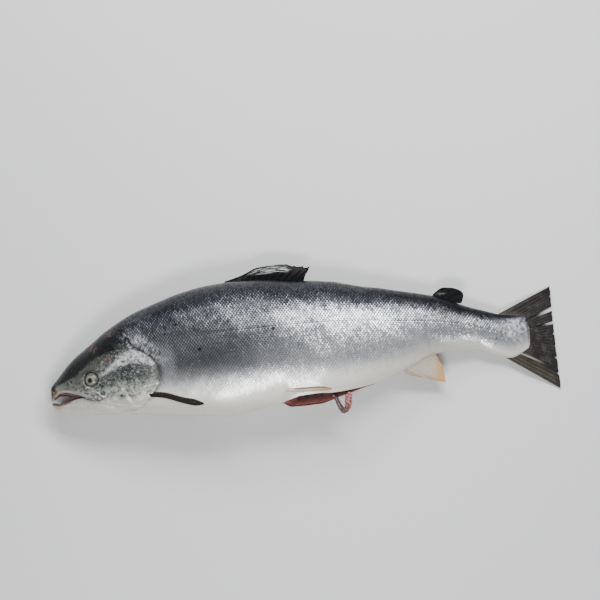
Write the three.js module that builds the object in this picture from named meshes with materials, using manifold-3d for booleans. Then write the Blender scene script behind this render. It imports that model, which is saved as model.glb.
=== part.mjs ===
// A raw whole salmon, gutted through a cut in the belly, lying on its right side on a flat surface.
// Millimetres, +Z up. +X runs from the snout to the tail, +Y from the belly to the back, and the left flank
// faces up. Everything is worked out in the fish's own frame, with the snout tip at x = 0, and the finished
// group is then moved so that its origin is the middle of its footprint, on the surface that it lies on.

import * as THREE from "three";
import { mergeVertices } from "three/addons/utils/BufferGeometryUtils.js";
import Module from "manifold-3d";

const wasm = await Module();
wasm.setup();

// ---------------------------------------------------------------- driving dimensions

const GAP = 0.3; // clearance between a fin, eye or lining and the body that it sits in
const FINEST = 0.06; // detail finer than this, which the cuts leave behind, is dropped
const BODY_END = 688; // where the scaled skin stops, over the root of the tail fin
const NOSE_ROUND = 2.5; // length of the blunt end of the snout
const STUMP_ROUND = 5; // length of the rounded end under the tail fin

// Each curve is [distance from the snout, value], joined by a smooth monotone curve.
const BACK = [
  [0, 6.5], [9, 15.5], [33, 40], [64, 62], [89, 79], [125, 98], [155, 109], [199, 121], [257, 129.5],
  [300, 128], [356, 122], [412, 115], [468, 101], [510, 91], [565, 76], [606, 58], [634, 47], [652, 42],
  [688, 38],
];
const BELLY = [
  [0, -20], [11, -28], [39, -35.5], [67, -39], [96, -41], [138, -47], [208, -58], [250, -63], [279, -60],
  [305, -55], [326, -53], [341, -60], [379, -60], [409, -52], [438, -44.5], [470, -36], [497, -25],
  [520, -16], [548, -5], [571, -2], [600, -2.5], [614, -4], [630, -12.5], [658, -20.5], [676, -14], [688, -8],
];
const HALF_WIDTH = [
  [0, 8], [10, 11], [25, 16.5], [50, 24], [75, 30.5], [100, 35], [130, 38], [160, 40.5], [200, 44], [260, 47],
  [320, 46.5], [380, 43], [440, 36.5], [500, 28.5], [550, 21.5], [600, 16], [640, 11], [665, 7.2], [688, 4],
];
const WIDEST_AT = [[0, 0.45], [100, 0.44], [180, 0.5], [688, 0.5]]; // share of the depth, from the belly
const FULLNESS = [[0, 2.1], [60, 2.3], [140, 2.35], [220, 2.2], [400, 2.1], [688, 2]]; // superellipse power
const ROLL = [[0, 3], [90, 6], [200, 9], [420, 9], [560, 3], [688, 0]]; // degrees that the belly is turned up
// Height of the lower flank over the table. The weight presses it flat where this is below 0.
const LIFT = [[0, 15], [60, 7], [120, 1], [180, -2.6], [430, -2.6], [500, 0], [600, 2.5], [688, 3.5]];

const HEAD_STEP = 5.6; // spacing of the body's rings over the head
const TRUNK_STEP = 12.5; // and behind it
const HEAD_LENGTH = 168;
const AROUND = 44; // points in each ring

const EYE = { x: 59, y: 11, radius: 10.5, bulge: 3.4 };
const EYE_SOCKET = { depth: 13, wider: 0.6 }; // wider than the eyeball all round
const NOSTRILS = [{ x: 26, y: 9.5 }, { x: 31, y: 11 }];
const NOSTRIL_RADIUS = 1.3;

// The mouth is open a little: the upper lip, the lower lip and the corner, in side view.
const MOUTH_CORNER = 50;
const UPPER_LIP = [[-4, -13], [3, -11], [14, -4.5], [21, -4], [28, -5.5], [42, -10.5], [50, -13.6]];
const LOWER_LIP = [[-4, -15.5], [3, -15.5], [12, -17.5], [21, -17], [34, -14.8], [42, -13.8], [50, -13.9]];
const TONGUE = { from: 13, to: 46, halfWidth: 6, height: 7 };

// The upper jaw bone lies over the cheek as a slim plate that widens towards its end.
const JAW_BONE = {
  line: [[4, -9], [14, -3], [28, -4], [42, -7.5], [56, -11.5], [70, -14.5], [78, -17]],
  thick: 2.2,
};
const JAW_BONE_WIDTH = [[0, 1.4], [0.35, 2.2], [0.75, 4.2], [0.93, 3.6], [1, 1]];

// The gill cover: its free rear edge, [height, distance from the snout], and how far it stands proud there.
const COVER_EDGE = [
  [-41, 112], [-36, 128], [-28, 138], [-20, 145], [-12, 153], [-4, 157.5], [6, 158.5], [14, 157],
  [22, 154], [30, 149], [37, 142], [43, 134], [48, 126], [50, 118],
];
const COVER = { front: 84, proud: 2.4, root: 3, fade: 44 };

// The belly cut: the edge of each wall in plan, and the cavity behind them.
const CUT = { from: 324, to: 474, wall: 7, reach: 26 };
const CUT_UPPER = [
  [324, -52], [345, -47], [352, -45.2], [381, -44], [395, -45], [424, -42.5], [453, -39], [474, -34],
];
const CUT_LOWER = [
  [324, -52.6], [334, -57], [350, -59], [379, -58], [394, -55], [409, -50.4], [438, -44], [460, -40],
  [474, -34.6],
];
const LINING = 2.4; // thickness of the red flesh that lines the cavity

const FIN_EDGE = 0.9; // thickness of a fin at its free edge
const FIN_ROOT = 2.6; // and where it grows out of the body

// ---------------------------------------------------------------- curves and small helpers

const { clamp, lerp, degToRad, smoothstep } = THREE.MathUtils;

// A smooth curve through the knots that never overshoots them (monotone cubic).
function curve(knots) {
  const slope = knots.slice(1).map(([x, y], i) => (y - knots[i][1]) / (x - knots[i][0]));
  const tangent = knots.map((_, i) => {
    if (i === 0) return slope[0];
    if (i === knots.length - 1) return slope[i - 1];
    const [before, after] = [slope[i - 1], slope[i]];
    return before * after <= 0 ? 0 : (2 * before * after) / (before + after);
  });
  return (x) => {
    const last = knots.length - 2;
    let i = knots.findIndex(([end], k) => k > 0 && x <= end) - 1;
    if (i < 0) i = x <= knots[0][0] ? 0 : last;
    const [x0, y0] = knots[i];
    const [x1, y1] = knots[i + 1];
    const width = x1 - x0;
    const t = clamp((x - x0) / width, 0, 1);
    const h = t * t * (3 - 2 * t);
    return lerp(y0, y1, h) + width * t * (1 - t) * ((1 - t) * tangent[i] - t * tangent[i + 1]);
  };
}

const back = curve(BACK);
const belly = curve(BELLY);
const halfWidth = curve(HALF_WIDTH);
const widestAt = curve(WIDEST_AT);
const fullness = curve(FULLNESS);
const roll = curve(ROLL);
const lift = curve(LIFT);

// count values from start to end, both included.
function spread(start, end, count) {
  return Array.from({ length: count }, (_, i) => lerp(start, end, i / (count - 1)));
}

// ---------------------------------------------------------------- the skin

// How far a section is drawn in where the snout and the stump round off, from 0 to 1.
function rounding(x) {
  const nose = clamp(1 - x / NOSE_ROUND, 0, 1);
  const stump = clamp(1 - (BODY_END - x) / STUMP_ROUND, 0, 1);
  return Math.sqrt(Math.max(0, 1 - nose * nose)) * Math.sqrt(Math.max(0, 1 - stump * stump));
}

// One cross-section before it is laid down: where it is widest, and its reach up, down and sideways.
function section(x, grow, size = rounding(x)) {
  const top = back(x);
  const bottom = belly(x);
  const middle = lerp(bottom, top, widestAt(x));
  return {
    middle,
    up: (top - middle) * size + grow,
    down: (middle - bottom) * size + grow,
    side: halfWidth(x) * size + grow,
    power: 2 / fullness(x),
    turn: degToRad(roll(x)),
  };
}

// The same section at an angle round it, 0 at the back and a right angle at the left flank, rolled belly up.
function rolled(s, angle) {
  const cos = Math.cos(angle);
  const sin = Math.sin(angle);
  const y = (cos > 0 ? s.up : s.down) * Math.sign(cos) * Math.abs(cos) ** s.power;
  const z = s.side * Math.sign(sin) * Math.abs(sin) ** s.power;
  return [
    s.middle + y * Math.cos(s.turn) + z * Math.sin(s.turn),
    z * Math.cos(s.turn) - y * Math.sin(s.turn),
  ];
}

// The height of the fish's middle plane over the table, from how far the section reaches down.
const HEIGHTS = 240;
const heightTable = spread(0, BODY_END, HEIGHTS + 1).map((x) => {
  const s = section(x, 0, 1);
  const lowest = Math.min(...spread(Math.PI, 2 * Math.PI, 60).map((a) => rolled(s, a)[1]));
  return lift(x) - lowest;
});
function middleHeight(x) {
  const at = clamp((x / BODY_END) * HEIGHTS, 0, HEIGHTS);
  const i = Math.min(Math.floor(at), HEIGHTS - 1);
  return lerp(heightTable[i], heightTable[i + 1], at - i);
}

// A point of the skin. grow moves it outwards.
function skin(x, angle, grow = 0) {
  const [y, z] = rolled(section(x, grow), angle);
  return new THREE.Vector3(x, y, z + middleHeight(x));
}

// The angle round the section where the left or right side of the skin has that height in plan.
function angleAt(x, y, side = 1) {
  const s = section(x, 0);
  let low = 0;
  let high = Math.PI;
  for (let i = 0; i < 30; i++) {
    const mid = (low + high) / 2;
    if (rolled(s, side * mid)[0] > y) low = mid;
    else high = mid;
  }
  return side * low;
}

// The point of the skin under a plan position, on the left flank or, for side -1, its mirror on the right.
function onSkin(x, y, grow = 0, side = 1) {
  const left = angleAt(x, y);
  return skin(x, side * left, grow);
}

// ---------------------------------------------------------------- solids

// A closed mesh from rings of points, each ring with as many points, ends closed by fans.
function lofted(rings) {
  const count = rings[0].length;
  const points = rings.flat();
  const triangles = [];
  for (let i = 0; i + 1 < rings.length; i++) {
    for (let j = 0; j < count; j++) {
      const next = (j + 1) % count;
      const [a, b] = [i * count + j, i * count + next];
      const [c, d] = [a + count, b + count];
      triangles.push(a, b, d, a, d, c);
    }
  }
  for (const [start, flip] of [[0, true], [(rings.length - 1) * count, false]]) {
    const centre = new THREE.Vector3();
    for (let j = 0; j < count; j++) centre.addScaledVector(points[start + j], 1 / count);
    points.push(centre);
    for (let j = 0; j < count; j++) {
      const [a, b] = [start + j, start + ((j + 1) % count)];
      if (flip) triangles.push(points.length - 1, b, a);
      else triangles.push(points.length - 1, a, b);
    }
  }
  const geometry = new THREE.BufferGeometry().setFromPoints(points);
  geometry.setIndex(triangles);
  return geometry;
}

// A closed thin solid between two surfaces over the same grid, stitched along its four sides.
function sheet(rows, columns, upper, lower) {
  const rings = spread(0, 1, columns).map((s) => {
    const across = spread(0, 1, rows);
    return [...across.map((t) => upper(s, t)), ...across.reverse().map((t) => lower(s, t))];
  });
  return lofted(rings);
}

// A geometry as a solid that can be joined and cut. Faces that point inwards are turned first.
function solid(geometry) {
  const bare = geometry.index ? geometry.toNonIndexed() : geometry.clone();
  bare.deleteAttribute("normal");
  bare.deleteAttribute("uv");
  const merged = mergeVertices(bare, 1e-4);
  const vertProperties = merged.attributes.position.array;
  const triVerts = new Uint32Array(merged.index.array);
  const made = new wasm.Manifold(new wasm.Mesh({ numProp: 3, vertProperties, triVerts }));
  if (made.volume() > 0) return made;
  for (let i = 0; i < triVerts.length; i += 3) {
    [triVerts[i], triVerts[i + 1]] = [triVerts[i + 1], triVerts[i]];
  }
  return new wasm.Manifold(new wasm.Mesh({ numProp: 3, vertProperties, triVerts }));
}

// The largest body of a solid, which drops the slivers that a cut can leave.
function largest(made) {
  return made.decompose().reduce((a, b) => (a.volume() > b.volume() ? a : b));
}

const fish = new THREE.Group();

// The same solid without the slivers of its cuts: points closer than FINEST are drawn together, and the faces
// between them dropped.
function cleaned(made) {
  const { vertProperties: at, triVerts } = made.asOriginal().simplify(FINEST / 2).getMesh();
  const kept = new Uint32Array(at.length / 3);
  for (let i = 0; i < kept.length; i++) {
    kept[i] = i;
    for (let j = 0; j < i; j++) {
      const [x, y, z] = [at[3 * i] - at[3 * j], at[3 * i + 1] - at[3 * j + 1], at[3 * i + 2] - at[3 * j + 2]];
      if (kept[j] === j && x * x + y * y + z * z < FINEST * FINEST) {
        kept[i] = j;
        break;
      }
    }
  }
  const triangles = [];
  for (let i = 0; i < triVerts.length; i += 3) {
    const [a, b, c] = [0, 1, 2].map((k) => kept[triVerts[i + k]]);
    if (a !== b && b !== c && c !== a) triangles.push(a, b, c);
  }
  const mesh = new wasm.Mesh({ numProp: 3, vertProperties: at, triVerts: new Uint32Array(triangles) });
  return new wasm.Manifold(mesh).simplify(FINEST / 2);
}

function addNode(name, made, material) {
  const mesh = largest(cleaned(largest(made))).getMesh();
  const geometry = new THREE.BufferGeometry();
  geometry.setAttribute("position", new THREE.BufferAttribute(mesh.vertProperties, 3));
  geometry.setIndex(new THREE.BufferAttribute(mesh.triVerts, 1));
  geometry.computeVertexNormals();
  const node = new THREE.Mesh(geometry, material);
  node.name = name;
  fish.add(node);
}

// ---------------------------------------------------------------- body

// Rings from the snout to the stump, close together where the form turns quickly.
function ringPlaces() {
  const nose = [0.1, 0.45, 1.2, NOSE_ROUND];
  const count = Math.round((HEAD_LENGTH - NOSE_ROUND) / HEAD_STEP);
  const head = spread(NOSE_ROUND + HEAD_STEP, HEAD_LENGTH, count);
  const end = BODY_END - STUMP_ROUND;
  const trunk = spread(HEAD_LENGTH + TRUNK_STEP, end, Math.round((end - HEAD_LENGTH) / TRUNK_STEP));
  return [...nose, ...head, ...trunk, BODY_END - 1.9, BODY_END - 0.5];
}

function trunkAndHead(grow) {
  const angles = spread(0, 2 * Math.PI, AROUND + 1).slice(0, -1);
  const longer = (x) => new THREE.Vector3(x > BODY_END - STUMP_ROUND ? grow : 0, 0, 0);
  return solid(lofted(ringPlaces().map((x) => angles.map((a) => skin(x, a, grow).add(longer(x))))));
}

// A gill cover: a plate over the cheek, rooted in the head, that ends in a free edge behind.
const coverEdge = curve(COVER_EDGE);
function gillCover(side, grow) {
  const [low, high] = [COVER_EDGE[0][0] + 1, COVER_EDGE.at(-1)[0] - 1];
  const place = (s, t, depth) => {
    const y = lerp(low, high, s);
    const x = lerp(COVER.front, coverEdge(y) + grow, t);
    const ends = smoothstep(Math.min(s, 1 - s), 0, 0.12);
    const proud = COVER.proud * smoothstep(x, COVER.front, COVER.front + COVER.fade) * lerp(0.4, 1, ends);
    return onSkin(x, y, depth > 0 ? proud + grow : -COVER.root, side);
  };
  return solid(sheet(7, 15, (s, t) => place(s, t, 1), (s, t) => place(s, t, -1)));
}

// The upper jaw bone: a flattened tube along the upper lip.
const jawBoneLine = curve(JAW_BONE.line);
const jawBoneWidth = curve(JAW_BONE_WIDTH);
function jawBone(side) {
  const [from, to] = [JAW_BONE.line[0][0], JAW_BONE.line.at(-1)[0]];
  const rings = spread(0, 1, 15).map((s) => {
    const x = lerp(from, to, s);
    const half = jawBoneWidth(s);
    return spread(0, 2 * Math.PI, 9).slice(0, -1).map((a) => {
      const y = jawBoneLine(x) + half * Math.cos(a);
      return onSkin(x, y, JAW_BONE.thick * Math.sin(a) - 0.4, side);
    });
  });
  return solid(lofted(rings));
}

// What the open mouth takes away, right through from side to side.
const upperLip = curve(UPPER_LIP);
const lowerLip = curve(LOWER_LIP);
function mouth() {
  const wide = 60;
  const rings = spread(UPPER_LIP[0][0], MOUTH_CORNER, 16).map((x) => {
    const z = middleHeight(x);
    const [top, bottom] = [upperLip(x), lowerLip(x)];
    return [
      new THREE.Vector3(x, top, z + wide), new THREE.Vector3(x, bottom, z + wide),
      new THREE.Vector3(x, bottom, z - wide), new THREE.Vector3(x, top, z - wide),
    ];
  });
  return solid(lofted(rings));
}

// A round pocket square to the skin: an eye socket or a nostril.
function pocket(x, y, radius, depth, side) {
  const at = onSkin(x, y, 0, side);
  const outwards = onSkin(x, y, 10, side).sub(at).normalize();
  const drill = new THREE.CylinderGeometry(radius, radius, 2 * depth, 24);
  drill.applyQuaternion(new THREE.Quaternion().setFromUnitVectors(new THREE.Vector3(0, 1, 0), outwards));
  drill.translate(at.x, at.y, at.z);
  return solid(drill);
}

// The cavity's outline across the fish, from the cut edge of the upper wall round to the lower lip.
const cutUpper = curve(CUT_UPPER);
const cutLower = curve(CUT_LOWER);
const openness = (x) => clamp((cutUpper(x) - cutLower(x)) / 14, 0.04, 1);
function cavityOutline(x, inset) {
  const upper = cutUpper(x);
  const lower = cutLower(x);
  const open = openness(x);
  const edge = onSkin(x, upper);
  const lip = skin(x, Math.PI, 0);
  const floor = edge.z - CUT.wall - 12 * open;
  const reach = CUT.reach * open;
  const at = (y, z) => new THREE.Vector3(x, y, z);
  return [
    at(upper - inset, edge.z + 4),
    at(upper - inset, edge.z - CUT.wall),
    at(upper + 0.45 * reach - inset, edge.z - CUT.wall - 2.5 * open - inset),
    at(upper + reach - inset, floor + 8 * open - inset),
    at(upper + 0.9 * reach - inset, floor + 1 * open + inset),
    at(upper, floor - 2 * open + inset),
    at(lower + 1.5, Math.min(lip.z - 6, floor + 1.5) + inset),
    at(lower + inset, Math.min(lip.z - 4, floor + 3) + inset),
  ];
}

const cutPlaces = spread(CUT.from, CUT.to, 24);
function cavity() {
  const rings = cutPlaces.map((x) => {
    const line = cavityOutline(x, 0);
    const outside = cutLower(x) - 9;
    return [
      ...line,
      new THREE.Vector3(x, outside, line.at(-1).z + 0.5),
      new THREE.Vector3(x, outside, line[0].z),
    ];
  });
  return solid(lofted(rings));
}

// The red flesh inside the cut: a trough that follows the cavity's walls and floor.
function bellyLining() {
  const rings = cutPlaces.filter((x) => openness(x) > 0.3).map((x) => {
    const outer = cavityOutline(x, GAP).slice(1);
    const inner = cavityOutline(x, GAP + LINING * openness(x)).slice(1);
    return [...outer, ...inner.reverse()];
  });
  return solid(lofted(rings));
}

// A box under the table, which flattens the side that the fish rests on.
function table() {
  const box = new THREE.BoxGeometry(900, 400, 60);
  box.translate(BODY_END / 2, 40, -30);
  return solid(box);
}

function body() {
  let made = trunkAndHead(0);
  for (const side of [1, -1]) made = made.add(gillCover(side, 0)).add(jawBone(side));
  made = made.subtract(mouth()).subtract(cavity());
  for (const side of [1, -1]) {
    made = made.subtract(pocket(EYE.x, EYE.y, EYE.radius + EYE_SOCKET.wider, EYE_SOCKET.depth, side));
    for (const { x, y } of NOSTRILS) made = made.subtract(pocket(x, y, NOSTRIL_RADIUS, 3, side));
  }
  return made.subtract(table());
}

// ---------------------------------------------------------------- eyes and tongue

// A flattened ball, square to the skin, that bulges a little out of its socket.
function eyeball(side) {
  const at = onSkin(EYE.x, EYE.y, 0, side);
  const outwards = onSkin(EYE.x, EYE.y, 10, side).sub(at).normalize();
  const ball = new THREE.SphereGeometry(EYE.radius, 18, 9);
  ball.scale(1, (EYE.bulge + 4.5) / EYE.radius, 1);
  ball.translate(0, -4, 0);
  ball.applyQuaternion(new THREE.Quaternion().setFromUnitVectors(new THREE.Vector3(0, 1, 0), outwards));
  ball.translate(at.x, at.y, at.z);
  return solid(ball);
}

function tongue() {
  const rings = spread(0, 1, 9).map((s) => {
    const x = lerp(TONGUE.from, TONGUE.to, s);
    const size = Math.sqrt(Math.max(0.02, 1 - (1 - s) ** 4));
    const low = lowerLip(x) + GAP;
    const room = upperLip(x) - lowerLip(x) - 2 * GAP;
    const high = Math.min(TONGUE.height * size, room);
    return spread(0, 2 * Math.PI, 11).slice(0, -1).map((a) =>
      new THREE.Vector3(
        x,
        low + (high * (1 + Math.sin(a))) / 2,
        middleHeight(x) + TONGUE.halfWidth * size * Math.cos(a),
      ));
  });
  return solid(lofted(rings));
}

// ---------------------------------------------------------------- fins

// A fin from its root line and its free edge, both given along s from the front to the rear.
// It is thick at the root and thin at the edge, and plane gives the height of its middle surface.
function fin(columns, rows, root, edge, plane, thick = FIN_ROOT) {
  const surface = (side) => (s, t) => {
    const [x0, y0] = root(s);
    const [x1, y1] = edge(s);
    const [x, y] = [lerp(x0, x1, t), lerp(y0, y1, t)];
    return new THREE.Vector3(x, y, plane(x, y, s, t) + (side * lerp(thick, FIN_EDGE, t)) / 2);
  };
  return solid(sheet(rows, columns, surface(1), surface(-1)));
}

// A path through a few points, as a function of s from 0 to 1.
function path(points) {
  const [xs, ys] = [0, 1].map((k) => curve(points.map((p) => [p[2], p[k]])));
  return (s) => [xs(s), ys(s)];
}

const DORSAL = {
  root: path([[262, 126, 0], [318, 124, 0.5], [374, 117, 1]]),
  edge: path([
    [264, 131, 0], [288, 137, 0.18], [313, 146, 0.36], [345, 146.5, 0.6], [388, 140, 0.9], [377, 127, 1],
  ]),
};
function dorsalFin() {
  const ridge = (x) => skin(x, 0).z;
  return fin(16, 5, DORSAL.root, DORSAL.edge, (x, y, s, t) => ridge(x) - 3.5 * t * t);
}

const ADIPOSE = {
  root: path([[552, 76, 0], [562, 72, 0.5], [574, 68, 1]]),
  edge: path([[556, 81.5, 0], [571, 89, 0.3], [588, 86, 0.55], [599, 76, 0.8], [595, 64, 1]]),
};
function adiposeFin() {
  const ridge = (x) => skin(x, 0).z;
  return fin(9, 5, ADIPOSE.root, ADIPOSE.edge, (x, y, s, t) => ridge(x) + 2 + 5 * s * t, 4.5);
}

const ANAL = {
  root: path([[500, -20, 0], [526, -8, 0.55], [549, 1, 1]]),
  edge: path([[505, -29, 0], [561, -45.5, 0.5], [559, -26, 0.75], [553, -7, 1]]),
};
function analFin() {
  const ridge = (x) => skin(x, Math.PI).z;
  return fin(12, 5, ANAL.root, ANAL.edge, (x, y, s, t) => ridge(x) - 5 * t * t);
}

// The tail: a fan of rays between the stump and a nearly straight edge, split twice near its top.
const TAIL = { tipX: 723, top: 76, bottom: -71, droopFrom: 672, edgeHeight: 1.8, root: 3.4 };
const TAIL_SPLITS = [
  { y: 44, depth: 33, half: 3 }, { y: 24, depth: 25, half: 1.9 }, { y: -27, depth: 5, half: 1.6 },
  { y: -50, depth: 4, half: 2 },
];
const tailRoot = path([
  [636, 40, 0], [668, 34, 0.12], [676, 28, 0.25], [676, 4, 0.62], [660, -8, 0.85], [636, -10, 1],
]);
const tailSpread = curve([[0, 0], [0.12, 0.1], [0.5, 0.42], [0.85, 0.8], [1, 1]]);
// The free edge, and how much of each ray is left at it: a split cuts the rays short along their own line.
function tailEdge(s) {
  const y = lerp(TAIL.top, TAIL.bottom, tailSpread(s));
  const [x0, y0] = tailRoot(s);
  const x = TAIL.tipX - 0.8 * Math.sin((Math.PI * (y - TAIL.bottom)) / (TAIL.top - TAIL.bottom));
  const cut = Math.max(0, ...TAIL_SPLITS.map((p) => p.depth * clamp(1 - Math.abs(y - p.y) / p.half, 0, 1)));
  const left = 1 - cut / Math.hypot(x - x0, y - y0);
  return [lerp(x0, x, left), lerp(y0, y, left)];
}
function tailFin() {
  // Columns stand close together at each split, so that it is cut sharply.
  const even = spread(0, 1, 23);
  const splits = TAIL_SPLITS.flatMap((p) => [-p.half, 0, p.half].map((d) => {
    let [low, high] = [0, 1];
    for (let i = 0; i < 40; i++) {
      const mid = (low + high) / 2;
      if (lerp(TAIL.top, TAIL.bottom, tailSpread(mid)) > p.y + d) low = mid;
      else high = mid;
    }
    return low;
  }));
  const between = even.filter((s) => splits.every((p) => Math.abs(p - s) > 0.012));
  const places = [...between, ...splits].sort((a, b) => a - b);
  const droop = (x) => smoothstep(x, TAIL.droopFrom, TAIL.tipX);
  const plane = (x) => lerp(middleHeight(Math.min(x, TAIL.droopFrom)), TAIL.edgeHeight, droop(x));
  const surface = (side) => (s, t) => {
    const at = s * (places.length - 1);
    const i = Math.min(Math.round(at), places.length - 1);
    const [x0, y0] = tailRoot(places[i]);
    const [x1, y1] = tailEdge(places[i]);
    const [x, y] = [lerp(x0, x1, t), lerp(y0, y1, t)];
    return new THREE.Vector3(x, y, plane(x) + (side * lerp(TAIL.root, FIN_EDGE, t)) / 2);
  };
  return solid(sheet(5, places.length, surface(1), surface(-1)));
}

// What the tail stalk takes out of the tail fin: its outline in plan, a gap wider, straight up and down.
function stalkOutline() {
  const places = ringPlaces().filter((x) => x > 600);
  const along = (x) => (x > BODY_END - STUMP_ROUND ? x + GAP : x);
  const edge = (angle, z) => (x) => new THREE.Vector3(along(x), rolled(section(x, GAP), angle)[0], z);
  const ring = (z) => [...places.map(edge(0, z)), ...[...places].reverse().map(edge(Math.PI, z))];
  return solid(lofted([ring(-20), ring(60)]));
}

// A paired fin, folded shut like a fan and lying back along the flank, narrow at its root.
const PECTORAL = {
  line: [[141, -19], [160, -20], [190, -32], [216, -41]],
  width: [[0, 3.4], [0.3, 3], [0.62, 3], [0.8, 4.2], [1, 2]],
  thick: 2.2,
};
const PELVIC = {
  line: [[334, -35.5], [353, -37.5], [376, -38], [398, -40]],
  width: [[0, 2], [0.4, 3], [0.8, 2.8], [1, 1.2]],
  thick: 1.5,
};
function foldedFin({ line, width, thick }, side) {
  const centre = curve(line);
  const half = curve(width);
  const [from, to] = [line[0][0], line.at(-1)[0]];
  const place = (s, t, grow) => {
    const x = lerp(from, to, s);
    return onSkin(x, centre(x) + half(s) * lerp(-1, 1, t), grow, side);
  };
  const arch = (t) => GAP + 0.4 + thick * Math.sqrt(Math.sin(Math.PI * lerp(0.12, 0.88, t)));
  return solid(sheet(5, 13, (s, t) => place(s, t, arch(t)), (s, t) => place(s, t, GAP)));
}

// ---------------------------------------------------------------- the loop of gut that hangs out of the cut

const GUT = {
  points: [
    [399, -46.5, -9], [403, -53, -10], [407, -64, -13], [412, -71.5, -18], [417, -69, -17], [420, -60, -11],
    [421, -50, -8], [420, -45.5, -8],
  ],
  radius: [[0, 2.4], [0.3, 3.4], [0.5, 3.7], [0.75, 4.8], [1, 3]],
};
function gutLoop(grow) {
  const top = onSkin(409, cutUpper(409)).z;
  const line = new THREE.CatmullRomCurve3(GUT.points.map(([x, y, z]) => new THREE.Vector3(x, y, top + z)));
  const steps = 22;
  const frames = line.computeFrenetFrames(steps);
  const radius = curve(GUT.radius);
  const rings = spread(0, 1, steps + 1).map((s, i) => {
    const centre = line.getPointAt(s);
    return spread(0, 2 * Math.PI, 9).slice(0, -1).map((a) =>
      centre.clone()
        .addScaledVector(frames.normals[i], (radius(s) + grow) * Math.cos(a))
        .addScaledVector(frames.binormals[i], (radius(s) + grow) * Math.sin(a)));
  });
  return solid(lofted(rings));
}

// ---------------------------------------------------------------- the whole fish

function material(color, roughness, metalness = 0) {
  return new THREE.MeshStandardMaterial({ color, roughness, metalness });
}
const SKIN = material(0xa9adb2, 0.3, 0.55);
const DARK_FIN = material(0x24211f, 0.5);
const PALE_FIN = material(0xc9ab8c, 0.5);
const BELLY_FIN = material(0xcfc6b4, 0.5);
const EYE_GLOSS = material(0x6f7266, 0.1);
const MOUTH_SKIN = material(0xb49a94, 0.35);
const FLESH = material(0x7c2f2c, 0.3);
const GUT_SKIN = material(0x9a5a52, 0.3);

const whole = body().subtract(gutLoop(GAP));
const cleared = trunkAndHead(GAP).add(gillCover(1, GAP)).add(gillCover(-1, GAP));
const clear = (made) => made.subtract(cleared);

addNode("body", whole, SKIN);
addNode("eye_left", eyeball(1), EYE_GLOSS);
addNode("eye_right", eyeball(-1), EYE_GLOSS);
addNode("tongue", tongue(), MOUTH_SKIN);
addNode("dorsal_fin", clear(dorsalFin()), DARK_FIN);
addNode("adipose_fin", clear(adiposeFin()), DARK_FIN);
addNode("tail_fin", tailFin().subtract(stalkOutline()), DARK_FIN);
addNode("anal_fin", clear(analFin()), PALE_FIN);
addNode("pectoral_fin_left", clear(foldedFin(PECTORAL, 1)), DARK_FIN);
addNode("pectoral_fin_right", clear(foldedFin(PECTORAL, -1)), DARK_FIN);
addNode("pelvic_fin_left", clear(foldedFin(PELVIC, 1)), BELLY_FIN);
addNode("pelvic_fin_right", clear(foldedFin(PELVIC, -1)), BELLY_FIN);
addNode("belly_lining", bellyLining().subtract(gutLoop(GAP)), FLESH);
addNode("gut_loop", gutLoop(0), GUT_SKIN);

// The origin goes to the middle of the footprint, on the table.
const middle = new THREE.Box3().setFromObject(fish, true).getCenter(new THREE.Vector3());
fish.position.set(-middle.x, -middle.y, 0);

export default fish;
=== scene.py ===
"""A raw whole salmon, gutted through a cut in its belly, lying on its right side, left flank up."""

import math

import bpy
import numpy as np
from mathutils import Matrix, Vector


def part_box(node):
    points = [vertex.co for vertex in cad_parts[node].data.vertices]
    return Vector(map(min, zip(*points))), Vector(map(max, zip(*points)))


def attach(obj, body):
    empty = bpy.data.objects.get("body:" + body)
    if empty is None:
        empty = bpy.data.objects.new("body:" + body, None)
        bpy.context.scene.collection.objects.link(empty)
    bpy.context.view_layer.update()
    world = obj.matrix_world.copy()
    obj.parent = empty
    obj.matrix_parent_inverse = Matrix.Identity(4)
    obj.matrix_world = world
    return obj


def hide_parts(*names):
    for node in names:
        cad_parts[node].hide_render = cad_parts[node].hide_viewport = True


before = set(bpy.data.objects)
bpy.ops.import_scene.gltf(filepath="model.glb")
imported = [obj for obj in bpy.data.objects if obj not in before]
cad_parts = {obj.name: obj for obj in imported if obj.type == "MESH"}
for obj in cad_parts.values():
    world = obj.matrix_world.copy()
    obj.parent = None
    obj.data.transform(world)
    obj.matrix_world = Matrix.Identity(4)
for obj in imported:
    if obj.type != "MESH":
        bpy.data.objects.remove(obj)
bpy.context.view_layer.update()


# ----------------------------------------------------------------------------------------------------
# The trunk: soft flesh in a skin of small overlapping silver scales, blue-black over the back and cream
# on the belly. It is a spindle twice as deep as it is thick, lies on its right flank, which its weight
# presses flat, starts under the gill covers, and is cut open along the belly.

# Lengths are millimetres: x from the snout to the tail, y from the middle line to the back, z up.
MM = 0.001
SKIN_END = 688  # where the stump of the tail stalk ends, inside the tail fin
NOSE_ROUND, STUMP_ROUND = 2.5, 5  # how far the two ends are rounded off

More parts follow.
